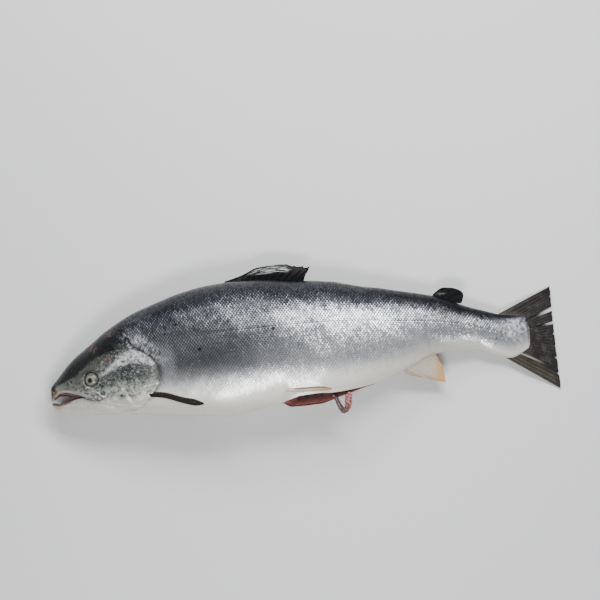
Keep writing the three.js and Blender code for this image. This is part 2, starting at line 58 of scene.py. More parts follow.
# The form, as (x, value): the lines of the back and the belly, half the width, where between belly and
# back it is widest, the power of the superellipse, the roll in degrees, and the height of its lowest
# point, which the table cuts off where it is under 0.
BACK = [
    (0, 6.5), (9, 15.5), (33, 40), (64, 62), (89, 79), (125, 98), (155, 109), (199, 121), (257, 129.5),
    (300, 128), (356, 122), (412, 115), (468, 101), (510, 91), (565, 76), (606, 58), (634, 47), (652, 42),
    (688, 38),
]
BELLY = [
    (0, -20), (11, -28), (39, -35.5), (67, -39), (96, -41), (138, -47), (208, -58), (250, -63),
    (279, -60), (305, -55), (326, -53), (341, -60), (379, -60), (409, -52), (438, -44.5), (470, -36),
    (497, -25), (520, -16), (548, -5), (571, -2), (600, -2.5), (614, -4), (630, -12.5), (658, -20.5),
    (676, -14), (688, -8),
]
HALF_WIDTH = [
    (0, 8), (10, 11), (25, 16.5), (50, 24), (75, 30.5), (100, 35), (130, 38), (160, 40.5), (200, 44),
    (260, 47), (320, 46.5), (380, 43), (440, 36.5), (500, 28.5), (550, 21.5), (600, 16), (640, 11),
    (665, 7.2), (688, 4),
]
WIDEST_AT = [(0, 0.45), (100, 0.44), (180, 0.5), (688, 0.5)]
FULLNESS = [(0, 2.1), (60, 2.3), (140, 2.35), (220, 2.2), (400, 2.1), (688, 2)]
ROLL = [(0, 3), (90, 6), (200, 9), (420, 9), (560, 3), (688, 0)]
LIFT = [(0, 15), (60, 7), (120, 1), (180, -2.6), (430, -2.6), (500, 0), (600, 2.5), (688, 3.5)]


def curve(knots):
    """A smooth curve through the knots, (place, value), that never overshoots them: between two knots it
    is a cubic, and its slope at a knot is the harmonic mean of those on both sides, or 0 at a peak."""
    place, value = np.array(knots, float).T
    slope = np.diff(value) / np.diff(place)
    tangent = np.concatenate([slope[:1], np.zeros(len(slope) - 1), slope[-1:]])
    same_way = slope[:-1] * slope[1:] > 0
    total = np.where(same_way, slope[:-1] + slope[1:], 1)
    tangent[1:-1] = np.where(same_way, 2 * slope[:-1] * slope[1:] / total, 0)

    def read(x):
        i = np.clip(np.searchsorted(place, x, side="right") - 1, 0, len(place) - 2)
        width = place[i + 1] - place[i]
        t = np.clip((x - place[i]) / width, 0, 1)
        bow = width * t * (1 - t) * ((1 - t) * tangent[i] - t * tangent[i + 1])
        return value[i] + (value[i + 1] - value[i]) * t * t * (3 - 2 * t) + bow

    return read


def ease(low, high, x):
    """0 up to low and 1 from high on, with the smooth cubic t * t * (3 - 2 t) between them."""
    t = np.clip((x - low) / (high - low), 0, 1)
    return t * t * (3 - 2 * t)


back_line, belly_line, half_width = curve(BACK), curve(BELLY), curve(HALF_WIDTH)
widest_at, fullness, roll, lift = curve(WIDEST_AT), curve(FULLNESS), curve(ROLL), curve(LIFT)


def section(x, angle, rounded=True):
    """The cross-section at x, seen along the fish, at an angle round it: 0 at the back and a right angle
    at the left flank. It is a superellipse with its own reach up, down and sideways, turned by the roll.
    The snout and the stump are drawn in by the square root that rounds a ball."""
    nose = np.clip(1 - x / NOSE_ROUND, 0, 1)
    stump = np.clip(1 - (SKIN_END - x) / STUMP_ROUND, 0, 1)
    size = np.sqrt(1 - nose**2) * np.sqrt(1 - stump**2) if rounded else 1
    top, bottom = back_line(x), belly_line(x)
    middle = bottom + (top - bottom) * widest_at(x)
    cos, sin, power, turn = np.cos(angle), np.sin(angle), 2 / fullness(x), np.radians(roll(x))
    y = np.where(cos > 0, top - middle, middle - bottom) * size * np.sign(cos) * np.abs(cos) ** power
    z = half_width(x) * size * np.sign(sin) * np.abs(sin) ** power
    return middle + y * np.cos(turn) + z * np.sin(turn), z * np.cos(turn) - y * np.sin(turn)


place_table = np.linspace(0, SKIN_END, 241)
right_flank = np.linspace(np.pi, 2 * np.pi, 60)[None]
lowest = section(place_table[:, None], right_flank, rounded=False)[1].min(axis=1)
height_table = lift(place_table) - lowest


def middle_height(x):
    """Height of the fish's middle plane over the table: the lift less the section's reach down."""
    return np.interp(x, place_table, height_table)


def together(*parts):
    """The parts spread over one another and laid side by side, as the last axis."""
    return np.stack(np.broadcast_arrays(*parts), axis=-1)


def skin(x, angle):
    """The point of the bare skin at x and at an angle round the section, never under the table."""
    y, z = section(x, angle)
    return together(x, y, np.maximum(z + middle_height(x), 0))


def angle_at(x, y):
    """The angle round the left flank at which the skin has that y, by halving from back to belly."""
    x, y = np.broadcast_arrays(np.asarray(x, float), np.asarray(y, float))
    low, high = np.zeros(x.shape), np.full(x.shape, np.pi)
    for _ in range(32):
        mid = (low + high) / 2
        above = section(x, mid)[0] > y
        low, high = np.where(above, mid, low), np.where(above, high, mid)
    return low


# The CAD's own body says where the fish's frame lies in the part's frame.
every_place = skin(np.linspace(0, SKIN_END, 400)[:, None], np.linspace(0, 2 * np.pi, 400)[None])
body_low, body_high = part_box("body")
SHIFT = np.array([
    body_low[0] - every_place[..., 0].min() * MM,
    body_high[1] - every_place[..., 1].max() * MM,
    0,
])


AROUND = 384  # columns of points round the fish, from the back over the left flank
HALF = AROUND // 2
TRUNK_RINGS = 250
TRUNK_START, HEAD_REACH = 90, 170  # the trunk starts, and the head ends, between these two
HEAD_EDGE = [  # where the head's bare skin ends, (height, distance from the snout): throat, gill cover, nape
    (-46, 108), (-41, 112), (-36, 128), (-28, 138), (-20, 145), (-12, 153), (-4, 157.5), (6, 158.5),
    (14, 157), (22, 154), (30, 149), (37, 142), (43, 134), (48, 127), (53, 123), (61, 120), (73, 115),
    (88, 107), (100, 103),
]
LATERAL_LINE = [
    (100, 50), (163, 51), (220, 55), (292, 57), (392, 56), (434, 54), (505, 47), (575, 38), (645, 20),
    (688, 14),
]
SCALE_LENGTH = [(100, 3.6), (250, 4.4), (450, 4.3), (600, 3.8), (688, 3.4)]
ROW_STEP = [(100, 2.6), (250, 3.1), (450, 3.0), (600, 2.6), (688, 2.3)]
CUT_FROM, CUT_TO = 324, 474
CUT_UPPER = [  # the upper lip of the cut, (x, y)
    (324, -52), (345, -47), (352, -45.2), (381, -44), (395, -45), (424, -42.5), (453, -39), (474, -34),
]
OPEN_TO = CUT_TO - 14  # behind this the cut is a closed crease
CUT_COLUMNS = 12  # columns of the skin that open between the two lips of the cut
REST_GAP, LEAST_GAP = 0.19, 0.012  # the angle they span where the belly is whole, and at the cut's ends
WHOLE = 130.0  # a place in front of the cut, where the columns are spaced evenly

head_edge = curve(HEAD_EDGE)
lateral_line = curve(LATERAL_LINE)
cut_upper = curve(CUT_UPPER)


def head_end(angle):
    """How far back the head reaches at each angle: where the skin there crosses the head's edge."""
    x = np.linspace(TRUNK_START, HEAD_REACH, 321)[:, None]
    left = np.minimum(angle, 2 * np.pi - angle)[None]
    past = x - head_edge(section(x, left)[0])
    inside = (past < 0).cumsum(axis=0).argmax(axis=0)
    i = np.clip(inside, 0, len(x) - 2)
    columns = np.arange(past.shape[1])
    a, b = past[i, columns], past[i + 1, columns]
    part = np.where(a < 0, -a / np.maximum(b - a, 1e-6), 0)
    return x[i, 0] + np.clip(part, 0, 1) * (x[1, 0] - x[0, 0])


def cut_gap(x):
    """The angle between the cut's upper lip and the belly's middle, which is the lower lip."""
    inside = np.pi - angle_at(np.clip(x, CUT_FROM, CUT_TO), cut_upper(x))
    within = ease(CUT_FROM, CUT_FROM + 8, x) * ease(CUT_TO, CUT_TO - 20, x)
    outside = np.maximum(CUT_FROM - x, x - CUT_TO)
    whole = LEAST_GAP + (REST_GAP - LEAST_GAP) * ease(0, 30, outside)
    return np.where(outside < 0, np.maximum(inside * within, LEAST_GAP), whole)


def trunk_angles(x, column):
    """The angle of each column of the trunk's skin at x. The left side's columns end on the cut's upper
    lip, and the next few span the opening."""
    lip = np.pi - cut_gap(x)
    left = column / (HALF - CUT_COLUMNS) * lip
    opening = lip + (column - (HALF - CUT_COLUMNS)) / CUT_COLUMNS * (np.pi - lip)
    right = column / HALF * np.pi
    return np.where(column <= HALF - CUT_COLUMNS, left, np.where(column <= HALF, opening, right))


def unit(vectors):
    """The vectors, each divided by its length."""
    return vectors / np.maximum(np.linalg.norm(vectors, axis=-1, keepdims=True), 1e-9)


def normals_of(points, closed=True):
    """Unit normals of a grid of points: the cross product of its two directions."""
    along = np.gradient(points, axis=0)
    wrapped = np.concatenate([points[:, -1:], points, points[:, :1]], axis=1) if closed else points
    around = np.gradient(wrapped, axis=1)
    around = around[:, 1:-1] if closed else around
    return unit(np.cross(around, along))


def hills(x, y, *waves):
    """Gentle unevenness: a sum of sine waves, each (length along x, length along y, phase, height)."""
    return sum(
        height * np.sin(2 * np.pi * x / long + phase) * np.cos(2 * np.pi * y / deep + 1.7 * phase)
        for long, deep, phase, height in waves
    )


def bell(distance, width):
    """1 at no distance, falling to 0 on both sides as exp(-(distance / width) squared)."""
    return np.exp(-((distance / width) ** 2))


def over_table(points, least=0):
    """The points, none of them lower over the table than least."""
    points[..., 2] = np.maximum(points[..., 2], least)
    return points


def side_view(x, angle):
    """Where the skin is in side view, the same for both flanks, in metres from the snout."""
    left = np.minimum(angle, 2 * np.pi - angle)
    return together(x, section(x, left)[0]) * MM


# Arc length from the back round the left flank, as a table over x and angle.
arc_x = np.linspace(TRUNK_START, SKIN_END, 160)
arc_angle = np.linspace(0, np.pi, 361)
arc_points = skin(arc_x[:, None], arc_angle[None])
arc_steps = np.linalg.norm(np.diff(arc_points[..., 1:], axis=1), axis=-1)
arc_table = np.concatenate([np.zeros((len(arc_x), 1)), arc_steps.cumsum(axis=1)], axis=1)


def arc_length(x, angle):
    """Arc length round the section from the back, read between the table's four nearest entries."""
    left = np.minimum(angle, 2 * np.pi - angle)
    i = np.clip((x - arc_x[0]) / (arc_x[1] - arc_x[0]), 0, len(arc_x) - 1.001)
    j = np.clip(left / (arc_angle[1] - arc_angle[0]), 0, len(arc_angle) - 1.001)
    i0, j0 = i.astype(int), j.astype(int)
    a, b = i - i0, j - j0
    near_row = arc_table[i0, j0] * (1 - b) + arc_table[i0, j0 + 1] * b
    far_row = arc_table[i0 + 1, j0] * (1 - b) + arc_table[i0 + 1, j0 + 1] * b
    return near_row * (1 - a) + far_row * a


def scale_lattice(x, angle):
    """The place of a point among the scales: how many scales behind the head, and how many rows below the
    lateral line."""
    fine = np.linspace(TRUNK_START, SKIN_END, 600)
    count = np.concatenate([[0], np.cumsum(np.diff(fine) / curve(SCALE_LENGTH)(fine[1:]))])
    line_arc = arc_length(fine, angle_at(fine, lateral_line(fine)))
    rows = (arc_length(x, angle) - np.interp(x, fine, line_arc)) / curve(ROW_STEP)(x)
    return together(np.interp(x, fine, count), rows)


TUCK, SUNK = 9, 1.6  # how far the trunk runs on under the gill cover, and how deep
TRUNK_HILLS = [(95, 140, 0.4, 0.5), (61, 70, 2.1, 0.3), (38, 52, 4.4, 0.16), (23, 31, 1.2, 0.08)]
column = np.arange(AROUND)[None]
start_angle = trunk_angles(np.full(AROUND, WHOLE), column[0])
start_x = head_end(start_angle)
side_y = section(start_x, np.minimum(start_angle, 2 * np.pi - start_angle))[0]
covered = ease(54, 46, side_y) * ease(-43, -38, side_y)  # 1 where the gill cover lies over the trunk

ring = np.linspace(0, 1, TRUNK_RINGS)[:, None]
trunk_x = (start_x - TUCK * covered) + (SKIN_END - 0.05 - start_x + TUCK * covered) * ring
trunk_angle = trunk_angles(trunk_x, column)
bare = skin(trunk_x, trunk_angle)
behind_edge = trunk_x - start_x
swell = hills(trunk_x, bare[..., 1], *TRUNK_HILLS)
swell *= ease(0, 60, behind_edge) * ease(SKIN_END, SKIN_END - 60, trunk_x)
sunk = -SUNK * covered * ease(5, -1, behind_edge)
lattice = scale_lattice(trunk_x, trunk_angle)
line_groove = -0.12 * bell(lattice[..., 1], 0.45) * ease(0, 30, behind_edge) * ease(640, 560, trunk_x)
lip_roll = 0.9 * bell(trunk_angle - np.pi + cut_gap(trunk_x), 0.05)
lip_roll *= ease(CUT_FROM, CUT_FROM + 14, trunk_x) * ease(CUT_TO, CUT_TO - 40, trunk_x)
trunk_points = over_table(bare + normals_of(bare) * (swell + sunk + line_groove + lip_roll)[..., None])


def grid_faces(rows, columns, closed=False, skip=None, start=0):
    """The four-cornered faces of a grid of points, rows by columns. closed joins the last column to the
    first, and skip leaves out the faces where it is true."""
    across = columns if closed else columns - 1
    r, c = np.meshgrid(np.arange(rows - 1), np.arange(across), indexing="ij")
    if skip is not None:
        keep = ~skip[r, c]
        r, c = r[keep], c[keep]
    r, c = r.ravel(), c.ravel()
    after = (c + 1) % columns
    corners = [r * columns + c, r * columns + after, (r + 1) * columns + after, (r + 1) * columns + c]
    return np.stack(corners, axis=-1) + start


open_column = (column >= HALF - CUT_COLUMNS) & (column < HALF)
open_place = (trunk_x > CUT_FROM) & (trunk_x < OPEN_TO) & open_column
trunk_faces = grid_faces(TRUNK_RINGS, AROUND, closed=True, skip=open_place)
stump_centre = trunk_points[-1].mean(axis=0)
trunk_vertices = np.concatenate([trunk_points.reshape(-1, 3), stump_centre[None]])
last_ring = (TRUNK_RINGS - 1) * AROUND + np.arange(AROUND)
centre = np.full(AROUND, len(trunk_vertices) - 1)
stump = np.stack([last_ring, np.roll(last_ring, -1), centre], axis=-1)


def with_centre(pairs):
    """UV pairs of the rings, and one more for the point that closes the stump."""
    return np.concatenate([pairs.reshape(-1, 2), pairs[-1].mean(axis=0)[None]])


def flank_height(x, y):
    """1 at the back, 0 on the lateral line and -1 at the belly."""
    line = lateral_line(x)
    above = (y - line) / (back_line(x) - line)
    return np.clip(np.where(y > line, above, (y - line) / (line - belly_line(x))), -1, 1)


def make_piece(name, points, faces, uvs=None):
    """A smooth mesh piece from points in the fish's millimetres. faces is a list of arrays of faces, each
    with four or three corners. uvs holds, for each name, one pair of numbers a point."""
    mesh = bpy.data.meshes.new(name)
    flat = points.reshape(-1, 3) * MM + SHIFT
    corners = np.concatenate([part.ravel() for part in faces])
    sizes = np.concatenate([np.full(len(part), part.shape[1]) for part in faces])
    mesh.vertices.add(len(flat))
    mesh.vertices.foreach_set("co", flat.astype(np.float32).ravel())
    mesh.loops.add(len(corners))
    mesh.loops.foreach_set("vertex_index", corners.astype(np.int32))
    mesh.polygons.add(len(sizes))
    mesh.polygons.foreach_set("loop_start", (sizes.cumsum() - sizes).astype(np.int32))
    mesh.update(calc_edges=True)
    mesh.polygons.foreach_set("use_smooth", np.full(len(sizes), True))
    for layer_name, pairs in (uvs or {}).items():
        layer = mesh.uv_layers.new(name=layer_name)
        layer.data.foreach_set("uv", pairs.reshape(-1, 2)[corners].astype(np.float32).ravel())
    piece = bpy.data.objects.new(name, mesh)
    bpy.context.scene.collection.objects.link(piece)
    return piece


side_pairs = side_view(trunk_x, trunk_angle)
# A map has two numbers. The first of this one only spreads it out, and the second is 0 at the belly, a
# half on the lateral line and 1 at the back.
flank_pairs = together(trunk_x / 700, flank_height(trunk_x, side_pairs[..., 1] / MM) / 2 + 0.5)
trunk_maps = {"scales": lattice, "side": side_pairs, "flank": flank_pairs}
trunk_maps = {key: with_centre(pairs) for key, pairs in trunk_maps.items()}
trunk = make_piece("scaled_trunk", trunk_vertices, [trunk_faces, stump], trunk_maps)


class Wire:
    """A number on its way through a material's nodes. Python's own signs add the Math nodes."""

    def __init__(self, paint, socket):
        self.paint, self.socket = paint, socket

    def __add__(self, other):
        return self.paint.math("ADD", self, other)

    def __sub__(self, other):
        return self.paint.math("SUBTRACT", self, other)

    def __rsub__(self, other):
        return self.paint.math("SUBTRACT", other, self)

    def __mul__(self, other):
        return self.paint.math("MULTIPLY", self, other)

    def __truediv__(self, other):
        return self.paint.math("DIVIDE", self, other)

    def __abs__(self):
        return self.paint.math("ABSOLUTE", self)

    __radd__, __rmul__ = __add__, __mul__


class Paint:
    """One material and the nodes that make it."""

    def __init__(self, name):
        self.material = bpy.data.materials.new(name)
        self.material.use_nodes = True
        self.nodes = self.material.node_tree.nodes
        self.links = self.material.node_tree.links
        self.shader = self.nodes["Principled BSDF"]

    def add(self, kind, settings=(), values=(), out=0):
        """Adds a node of a kind with its settings, fills its sockets, and gives one output's Wire."""
        node = self.nodes.new("ShaderNode" + kind)
        for key, value in dict(settings).items():
            if key == "stops":
                while len(node.color_ramp.elements) < len(value):
                    node.color_ramp.elements.new(1)
                for element, (at, shade) in zip(node.color_ramp.elements, value):
                    element.position, element.color = at, (*shade, 1)
            else:
                setattr(node, key, value)
        for key, value in dict(values).items():
            self.put(node.inputs[key], value)
        return Wire(self, node.outputs[out])

    def put(self, socket, value):
        """Links a Wire to a socket, or sets the socket to a number or a colour."""
        if isinstance(value, Wire):
            self.links.new(value.socket, socket)
        elif hasattr(socket.default_value, "__len__") and len(value) == 3 and len(socket.default_value) == 4:
            socket.default_value = (*value, 1)
        else:
            socket.default_value = value

    def math(self, operation, *values):
        """A Math node's operation on numbers."""
        return self.add("Math", {"operation": operation}, dict(enumerate(values)))

    def vectors(self, operation, *values, out=0):
        """A Vector Math node's operation on places."""
        return self.add("VectorMath", {"operation": operation}, dict(enumerate(values)), out)

    def here(self):
        """The place on the fish itself, in metres."""
        return self.add("TexCoord", {}, {}, "Object")

    def band(self, low, high, value):
        """0 where value is low, 1 where it is high, smooth between. low may be the larger."""
        turned = low > high
        values = {"Value": value, "From Min": min(low, high), "From Max": max(low, high)}
        values.update({"To Min": 1, "To Max": 0} if turned else {})
        return self.add("MapRange", {"interpolation_type": "SMOOTHSTEP"}, values)

    def mix(self, amount, first, second, blend="MIX"):
        """The first colour, and as much of the second over it as amount says."""
        node = self.nodes.new("ShaderNodeMix")
        node.data_type, node.blend_type = "RGBA", blend
        for key, value in ((0, amount), (6, first), (7, second)):
            self.put(node.inputs[key], value)
        return Wire(self, node.outputs[2])

    def uv(self, name):
        """The two numbers of a UV map, and the vector they come from."""
        place = self.add("UVMap", {"uv_map": name})
        return (*[self.add("SeparateXYZ", {}, {0: place}, out) for out in (0, 1)], place)

    def noise(self, place, scale, detail=3, roughness=0.55, stretch=None):
        """Soft random shade from 0 to 1, with an average of a half. stretch slows it along some axes."""
        if stretch:
            place = self.vectors("MULTIPLY", place, stretch)
        values = {"Vector": place, "Scale": scale, "Detail": detail, "Roughness": roughness}
        return self.add("TexNoise", {}, values)

    def spot(self, place, x, y, wide, high, soft=0.35, turn=0.0):
        """1 inside an ellipse of the side view, in millimetres and degrees, and 0 past its soft edge."""
        away = self.vectors("SUBTRACT", place, (x * MM, y * MM, 0))
        if turn:
            values = {"Vector": away, "Angle": math.radians(-turn)}
            away = self.add("VectorRotate", {"rotation_type": "Z_AXIS"}, values)
        scaled = self.vectors("MULTIPLY", away, (1 / wide / MM, 1 / high / MM, 0))
        far = self.vectors("LENGTH", scaled, out="Value")
        return self.band(1 + soft, 1 - soft, far)

    def bump(self, height, distance, strength=1.0, normal=None):
        """The normal of a surface whose height is so many times the distance, in metres."""
        values = {"Height": height, "Distance": distance, "Strength": strength}
        if normal:
            values["Normal"] = normal
        return self.add("Bump", {}, values)

    def wear(self, **values):
        """Sets the shader's own sockets, and gives back the material."""
        for key, value in values.items():
            self.put(self.shader.inputs[key.replace("_", " ")], value)
        return self.material


CREAM = (0.7, 0.67, 0.59)
# The skin between the scales, and their shine, from the belly to the back: (height on the flank, colour).
# The shine's brighter stops at 0.2 and 0.52 are painted highlight bands along the flank.
GROUND = [
    (0.0, CREAM), (0.1, (0.72, 0.69, 0.62)), (0.2, (0.6, 0.6, 0.59)), (0.36, (0.25, 0.26, 0.28)),
    (0.52, (0.1, 0.105, 0.115)), (0.68, (0.03, 0.032, 0.04)), (0.78, (0.009, 0.01, 0.014)),
    (1.0, (0.004, 0.0045, 0.006)),
]
SHINE_WITH_PAINTED_BANDS = [
    (0.0, CREAM), (0.1, (0.82, 0.8, 0.74)), (0.2, (0.86, 0.87, 0.87)), (0.36, (0.6, 0.61, 0.63)),
    (0.52, (0.72, 0.74, 0.76)), (0.66, (0.6, 0.62, 0.66)), (0.76, (0.34, 0.365, 0.41)),
    (0.84, (0.18, 0.195, 0.23)), (1.0, (0.05, 0.055, 0.066)),
]
# Black spots over the shoulder, and brown marks of rubbed-off scales: (x, y, half length, half height).
BLACK_SPOTS = [
    (218, 35, 2.6, 2.1), (325, 53, 2.3, 2.0), (188, 74, 1.6, 1.6), (232, 88, 1.9, 1.6),
    (171, 62, 1.3, 1.3), (262, 70, 1.5, 1.4), (205, 97, 1.6, 1.6), (296, 92, 1.8, 1.5),
    (351, 84, 1.4, 1.4), (246, 104, 1.5, 1.5), (402, 78, 1.3, 1.3), (318, 106, 1.4, 1.4),
    (180, 92, 1.4, 1.4),
]
RUBBED_MARKS = [
    (438, 74, 6, 3), (446, 78, 4, 2), (411, 63, 5, 2.2), (528, 70, 4, 3), (470, 66, 4, 2),
    (612, 40, 4, 2), (561, 58, 5, 2), (387, 94, 8, 2), (396, 90, 7, 1.6), (378, 101, 4, 2),
]
# Painted shade and painted highlights, where the silver looks duller or brighter in the light, and a few
# darker
# patches of pigment: (factor, x, y, half length, half height, softness, turn).
PAINTED_LIGHT_AND_SHADE = [
    (0.32, 205, 41, 104, 35, 0.5, 2), (0.7, 165, 76, 50, 34, 0.6, 0), (0.64, 295, 22, 75, 32, 0.6, 0),
    (0.6, 215, 6, 105, 15, 0.6, 0), (0.6, 285, 92, 70, 12, 0.6, -2), (0.6, 375, 52, 22, 18, 0.6, 0),
    (2.0, 172, 22, 10, 22, 0.6, 0), (2.6, 132, 82, 22, 11, 0.7, 38), (1.9, 212, 90, 66, 18, 0.7, 12),
    (1.45, 300, -26, 130, 22, 0.5, 0), (1.5, 455, 68, 80, 15, 0.6, -7), (1.25, 470, 36, 75, 12, 0.6, -5),
    (1.15, 360, 72, 55, 14, 0.6, -3), (0.75, 290, 84, 60, 12, 0.6, -2), (0.4, 556, 66, 60, 12, 0.6, -20),
    (1.5, 395, 101, 50, 8, 0.7, -12), (0.4, 628, 45, 55, 7, 0.6, -12), (0.6, 571, 54, 24, 9, 0.6, -18),
    (0.68, 480, 4, 110, 12, 0.6, 3), (0.72, 565, 20, 30, 10, 0.6, 0), (0.8, 655, 22, 30, 30, 0.6, 0),
]


def scale_pattern(paint, u, v, cap=0.62):
    """Overlapping scales: even rows and odd rows are two sets, half a scale apart. In a set, the free
    edge of each scale is an arc, cap long, and rise climbs from 0 at one edge to 1 at the next. The set
    whose next edge is nearest lies on top. Gives rise, the place across the scale, and three random
    numbers for each scale."""
    sets = []
    for shift in (0, 1):
        row = paint.math("ROUND", (v - shift) / 2)
        across = v - shift - row * 2
        arc = paint.math("SQRT", paint.math("MAXIMUM", 1 - across * across, 0)) * cap
        place = u - shift * 0.5 - arc
        number = paint.math("FLOOR", place)
        sets.append((place - number, across, number + shift * 0.5, row * 2 + shift))
    even, odd = sets
    upper = paint.math("GREATER_THAN", even[0], odd[0])
    rise, across, number, row = [b + (a - b) * upper for a, b in zip(even, odd)]
    which = paint.add("CombineXYZ", {}, {0: number, 1: row})
    random = paint.add("TexWhiteNoise", {"noise_dimensions": "2D"}, {"Vector": which}, "Color")
    parts = [paint.add("SeparateColor", {}, {0: random}, out) for out in (0, 1, 2)]
    return rise, across, parts


def scaled_skin():
    """Silver under clear scales. Each scale has a bright middle and a dark border, which is painted shade
    where the scales overlap, and the pigment thickens towards the back, where clusters of scales shine and
    the rest are dull. The shine is brighter in two painted highlight bands along the flank. Over that lie
    larger patches of painted shade and painted highlight, painted shade in long wrinkles, painted white
    glare by the gill cover and on the stalk, black spots and rubbed marks."""
    paint = Paint("scaled_skin")
    u, v, _ = paint.uv("scales")
    x, _, side = paint.uv("side")
    _, flank, _ = paint.uv("flank")
    here = paint.here()
    wander = paint.noise(here, 60, 2) - 0.5
    rise, across, (shine, tilt, lean) = scale_pattern(paint, u + wander * 0.3, v + wander * 0.2)

    patch = paint.noise(here, 22, 4, 0.6)
    streak = paint.noise(here, 34, 4, 0.6, stretch=(0.35, 1.6, 1))
    level = flank + (patch - 0.5) * 0.06 + (shine - 0.5) * 0.06
    ground, lustre = [paint.add("ValToRGB", {"stops": stops}, {0: level}) for stops in (GROUND, SHINE_WITH_PAINTED_BANDS)]
    scaled = paint.band(0.02, 0.3, level)

    across_scale = paint.band(0.98, 0.4, abs(across))
    narrow = paint.band(0.6, 0.78, level) * 0.14
    middle = paint.band(0.2, 0.45, rise - narrow) * paint.band(0.95, 0.7, rise + narrow * 0.5) * across_scale
    clusters = paint.band(0.34, 0.62, paint.noise(here, 95, 4, 0.65))
    dull = paint.band(0.5, 0.72, level) * 0.4 + 0.36
    gleam = middle * (1 - dull * (1 - paint.band(0.05, 0.8, shine))) * (1 - dull * (1 - clusters))
    colour = paint.mix(gleam, ground, lustre)
    # Painted shade: a dark line where each scale overlaps the next.
    overlap_shade = (paint.band(0.16, 0.0, rise) + paint.band(0.84, 1.0, rise)) * (0.1 + scaled * 0.5)
    colour = paint.mix(overlap_shade, colour, paint.mix(0.7, ground, (0.012, 0.014, 0.02)))
    pits = paint.band(0.8, 0.86, lean) * paint.band(0.5, 0.6, level) * (1 - clusters * 0.6)
    colour = paint.mix(pits * 0.75, colour, (0.035, 0.038, 0.046))
    line = paint.band(0.42, 0.12, abs(v))
    line = line * paint.band(0.16, 0.2, x) * paint.band(0.66, 0.58, x)
    colour = paint.mix(line * (0.3 + paint.band(0.25, 0.4, x) * 0.35), colour, (0.03, 0.034, 0.04))

    # Painted shade and painted highlights: patches of the silver darkened or brightened by a factor.
    for factor, *ellipse in PAINTED_LIGHT_AND_SHADE:
        shaded = paint.spot(side, *ellipse) * (0.85 + (patch - 0.5) * 0.8)
        colour = paint.mix(shaded, colour, (factor, factor, factor * 1.02), "MULTIPLY")
    smear = paint.band(0.5, 0.7, streak) * paint.band(0.3, 0.5, level) * 0.3
    colour = paint.mix(smear, colour, (0.06, 0.066, 0.078))
    # Painted shade in long thin wrinkles of the skin.
    crease_shade = paint.band(0.58, 0.66, paint.noise(here, 30, 3, 0.5, stretch=(0.14, 2.4, 1)))
    crease_shade = crease_shade * paint.band(0.3, 0.38, level) * paint.band(0.62, 0.55, level)
    colour = paint.mix(crease_shade * 0.35, colour, (0.03, 0.032, 0.038))
    stalk = paint.band(0.59, 0.64, x) * paint.band(0.56, 0.64, paint.noise(here, 260, 4, 0.7)) * scaled
    colour = paint.mix(stalk * 0.75, colour, (0.025, 0.03, 0.042))
    # Painted glare: white highlights behind the gill cover and on the stalk.
    painted_glare = paint.spot(side, 150, 40, 25, 10, 0.9, -38) + paint.spot(side, 134, 58, 9, 6, 0.9)
    painted_glare = painted_glare + paint.spot(side, 667, 17, 18, 13, 0.8) * 0.7
    painted_glare = painted_glare * paint.band(0.4, 0.62, paint.noise(here, 190, 5, 0.75, stretch=(1.2, 0.7, 1)))
    painted_glare = paint.math("MINIMUM", painted_glare * (0.45 + middle * 0.55), 0.9)
    colour = paint.mix(painted_glare, colour, (0.95, 0.95, 0.97))
    for spot in BLACK_SPOTS:
        colour = paint.mix(paint.spot(side, *spot) * 0.9, colour, (0.008, 0.008, 0.011))
    worn = paint.band(0.42, 0.56, paint.noise(here, 260, 3))
    for mark in RUBBED_MARKS:
        colour = paint.mix(paint.spot(side, *mark, 0.6) * worn * 0.8, colour, (0.06, 0.04, 0.03))

    height = rise * 0.8 + (tilt - 0.5) * rise * 0.8 + (lean - 0.5) * across * 0.7
    scales = paint.bump(height * scaled, 0.0006)
    normal = paint.bump(paint.noise(here, 420, 2), 0.0002, 0.2, scales)
    return paint.wear(
        Base_Color=colour,
        Metallic=scaled * 0.72,
        Roughness=0.26 + patch * 0.12,
        Normal=normal,
        Coat_Weight=0.1,
        Coat_Roughness=0.15,
    )


def finish_piece(piece, material, slot, *nodes):
    """Every piece rides on the fish, wears its material and hides the nodes of the CAD it stands for."""
    piece.data.materials.append(material)
    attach(piece, "root")
    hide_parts(*nodes)


finish_piece(trunk, scaled_skin(), "skin", "body")


# ----------------------------------------------------------------------------------------------------
# The head: bare slippery skin close over the bones. The gill cover is a thin plate whose rear edge stands
# free over the trunk, and the upper jaw bone lies along the lip. The mouth is open a little.

HEAD_RINGS = 250
SNOUT = 0.15
MOUTH_CORNER = 50
LIP_COLUMNS = 10  # columns of the skin that open between the two lips
UPPER_LIP = [(-4, -13), (3, -11), (14, -4.5), (21, -4), (28, -5.5), (42, -10.5), (50, -13.6)]
LOWER_LIP = [(-4, -15.5), (3, -15.5), (12, -17.5), (21, -17), (34, -14.8), (42, -13.8), (50, -13.9)]
EYE_X, EYE_Y, EYE_RADIUS = 60, 10.5, 10.5
NOSTRILS = [(26, 9.5), (31, 11)]
COVER_PROUD = 2.4  # how far the free edge of the gill cover stands over the trunk
HEAD_HILLS = [(17, 21, 0.3, 0.16), (9.5, 12, 1.9, 0.09), (5.3, 7.1, 4.0, 0.05)]
JAW_BONE_LOW = [(2, -10), (14, -4.2), (28, -6), (42, -11), (55, -17), (62, -19.3), (69, -19.8), (78, -18)]
JAW_BONE_HIGH = [(2, -6.5), (14, 0), (28, -1.5), (42, -3.5), (57, -5), (66, -8), (73, -13.5), (78, -17.6)]
CHEEK_EDGE = [(-34, 119), (-20, 106), (0, 99), (20, 97), (46, 104)]  # front of the gill cover, as (y, x)
CROWN_EDGE = [(0, 1), (14, 7), (28, 14), (47, 24), (61, 36), (78, 42), (104, 48.5), (121, 52), (160, 60)]
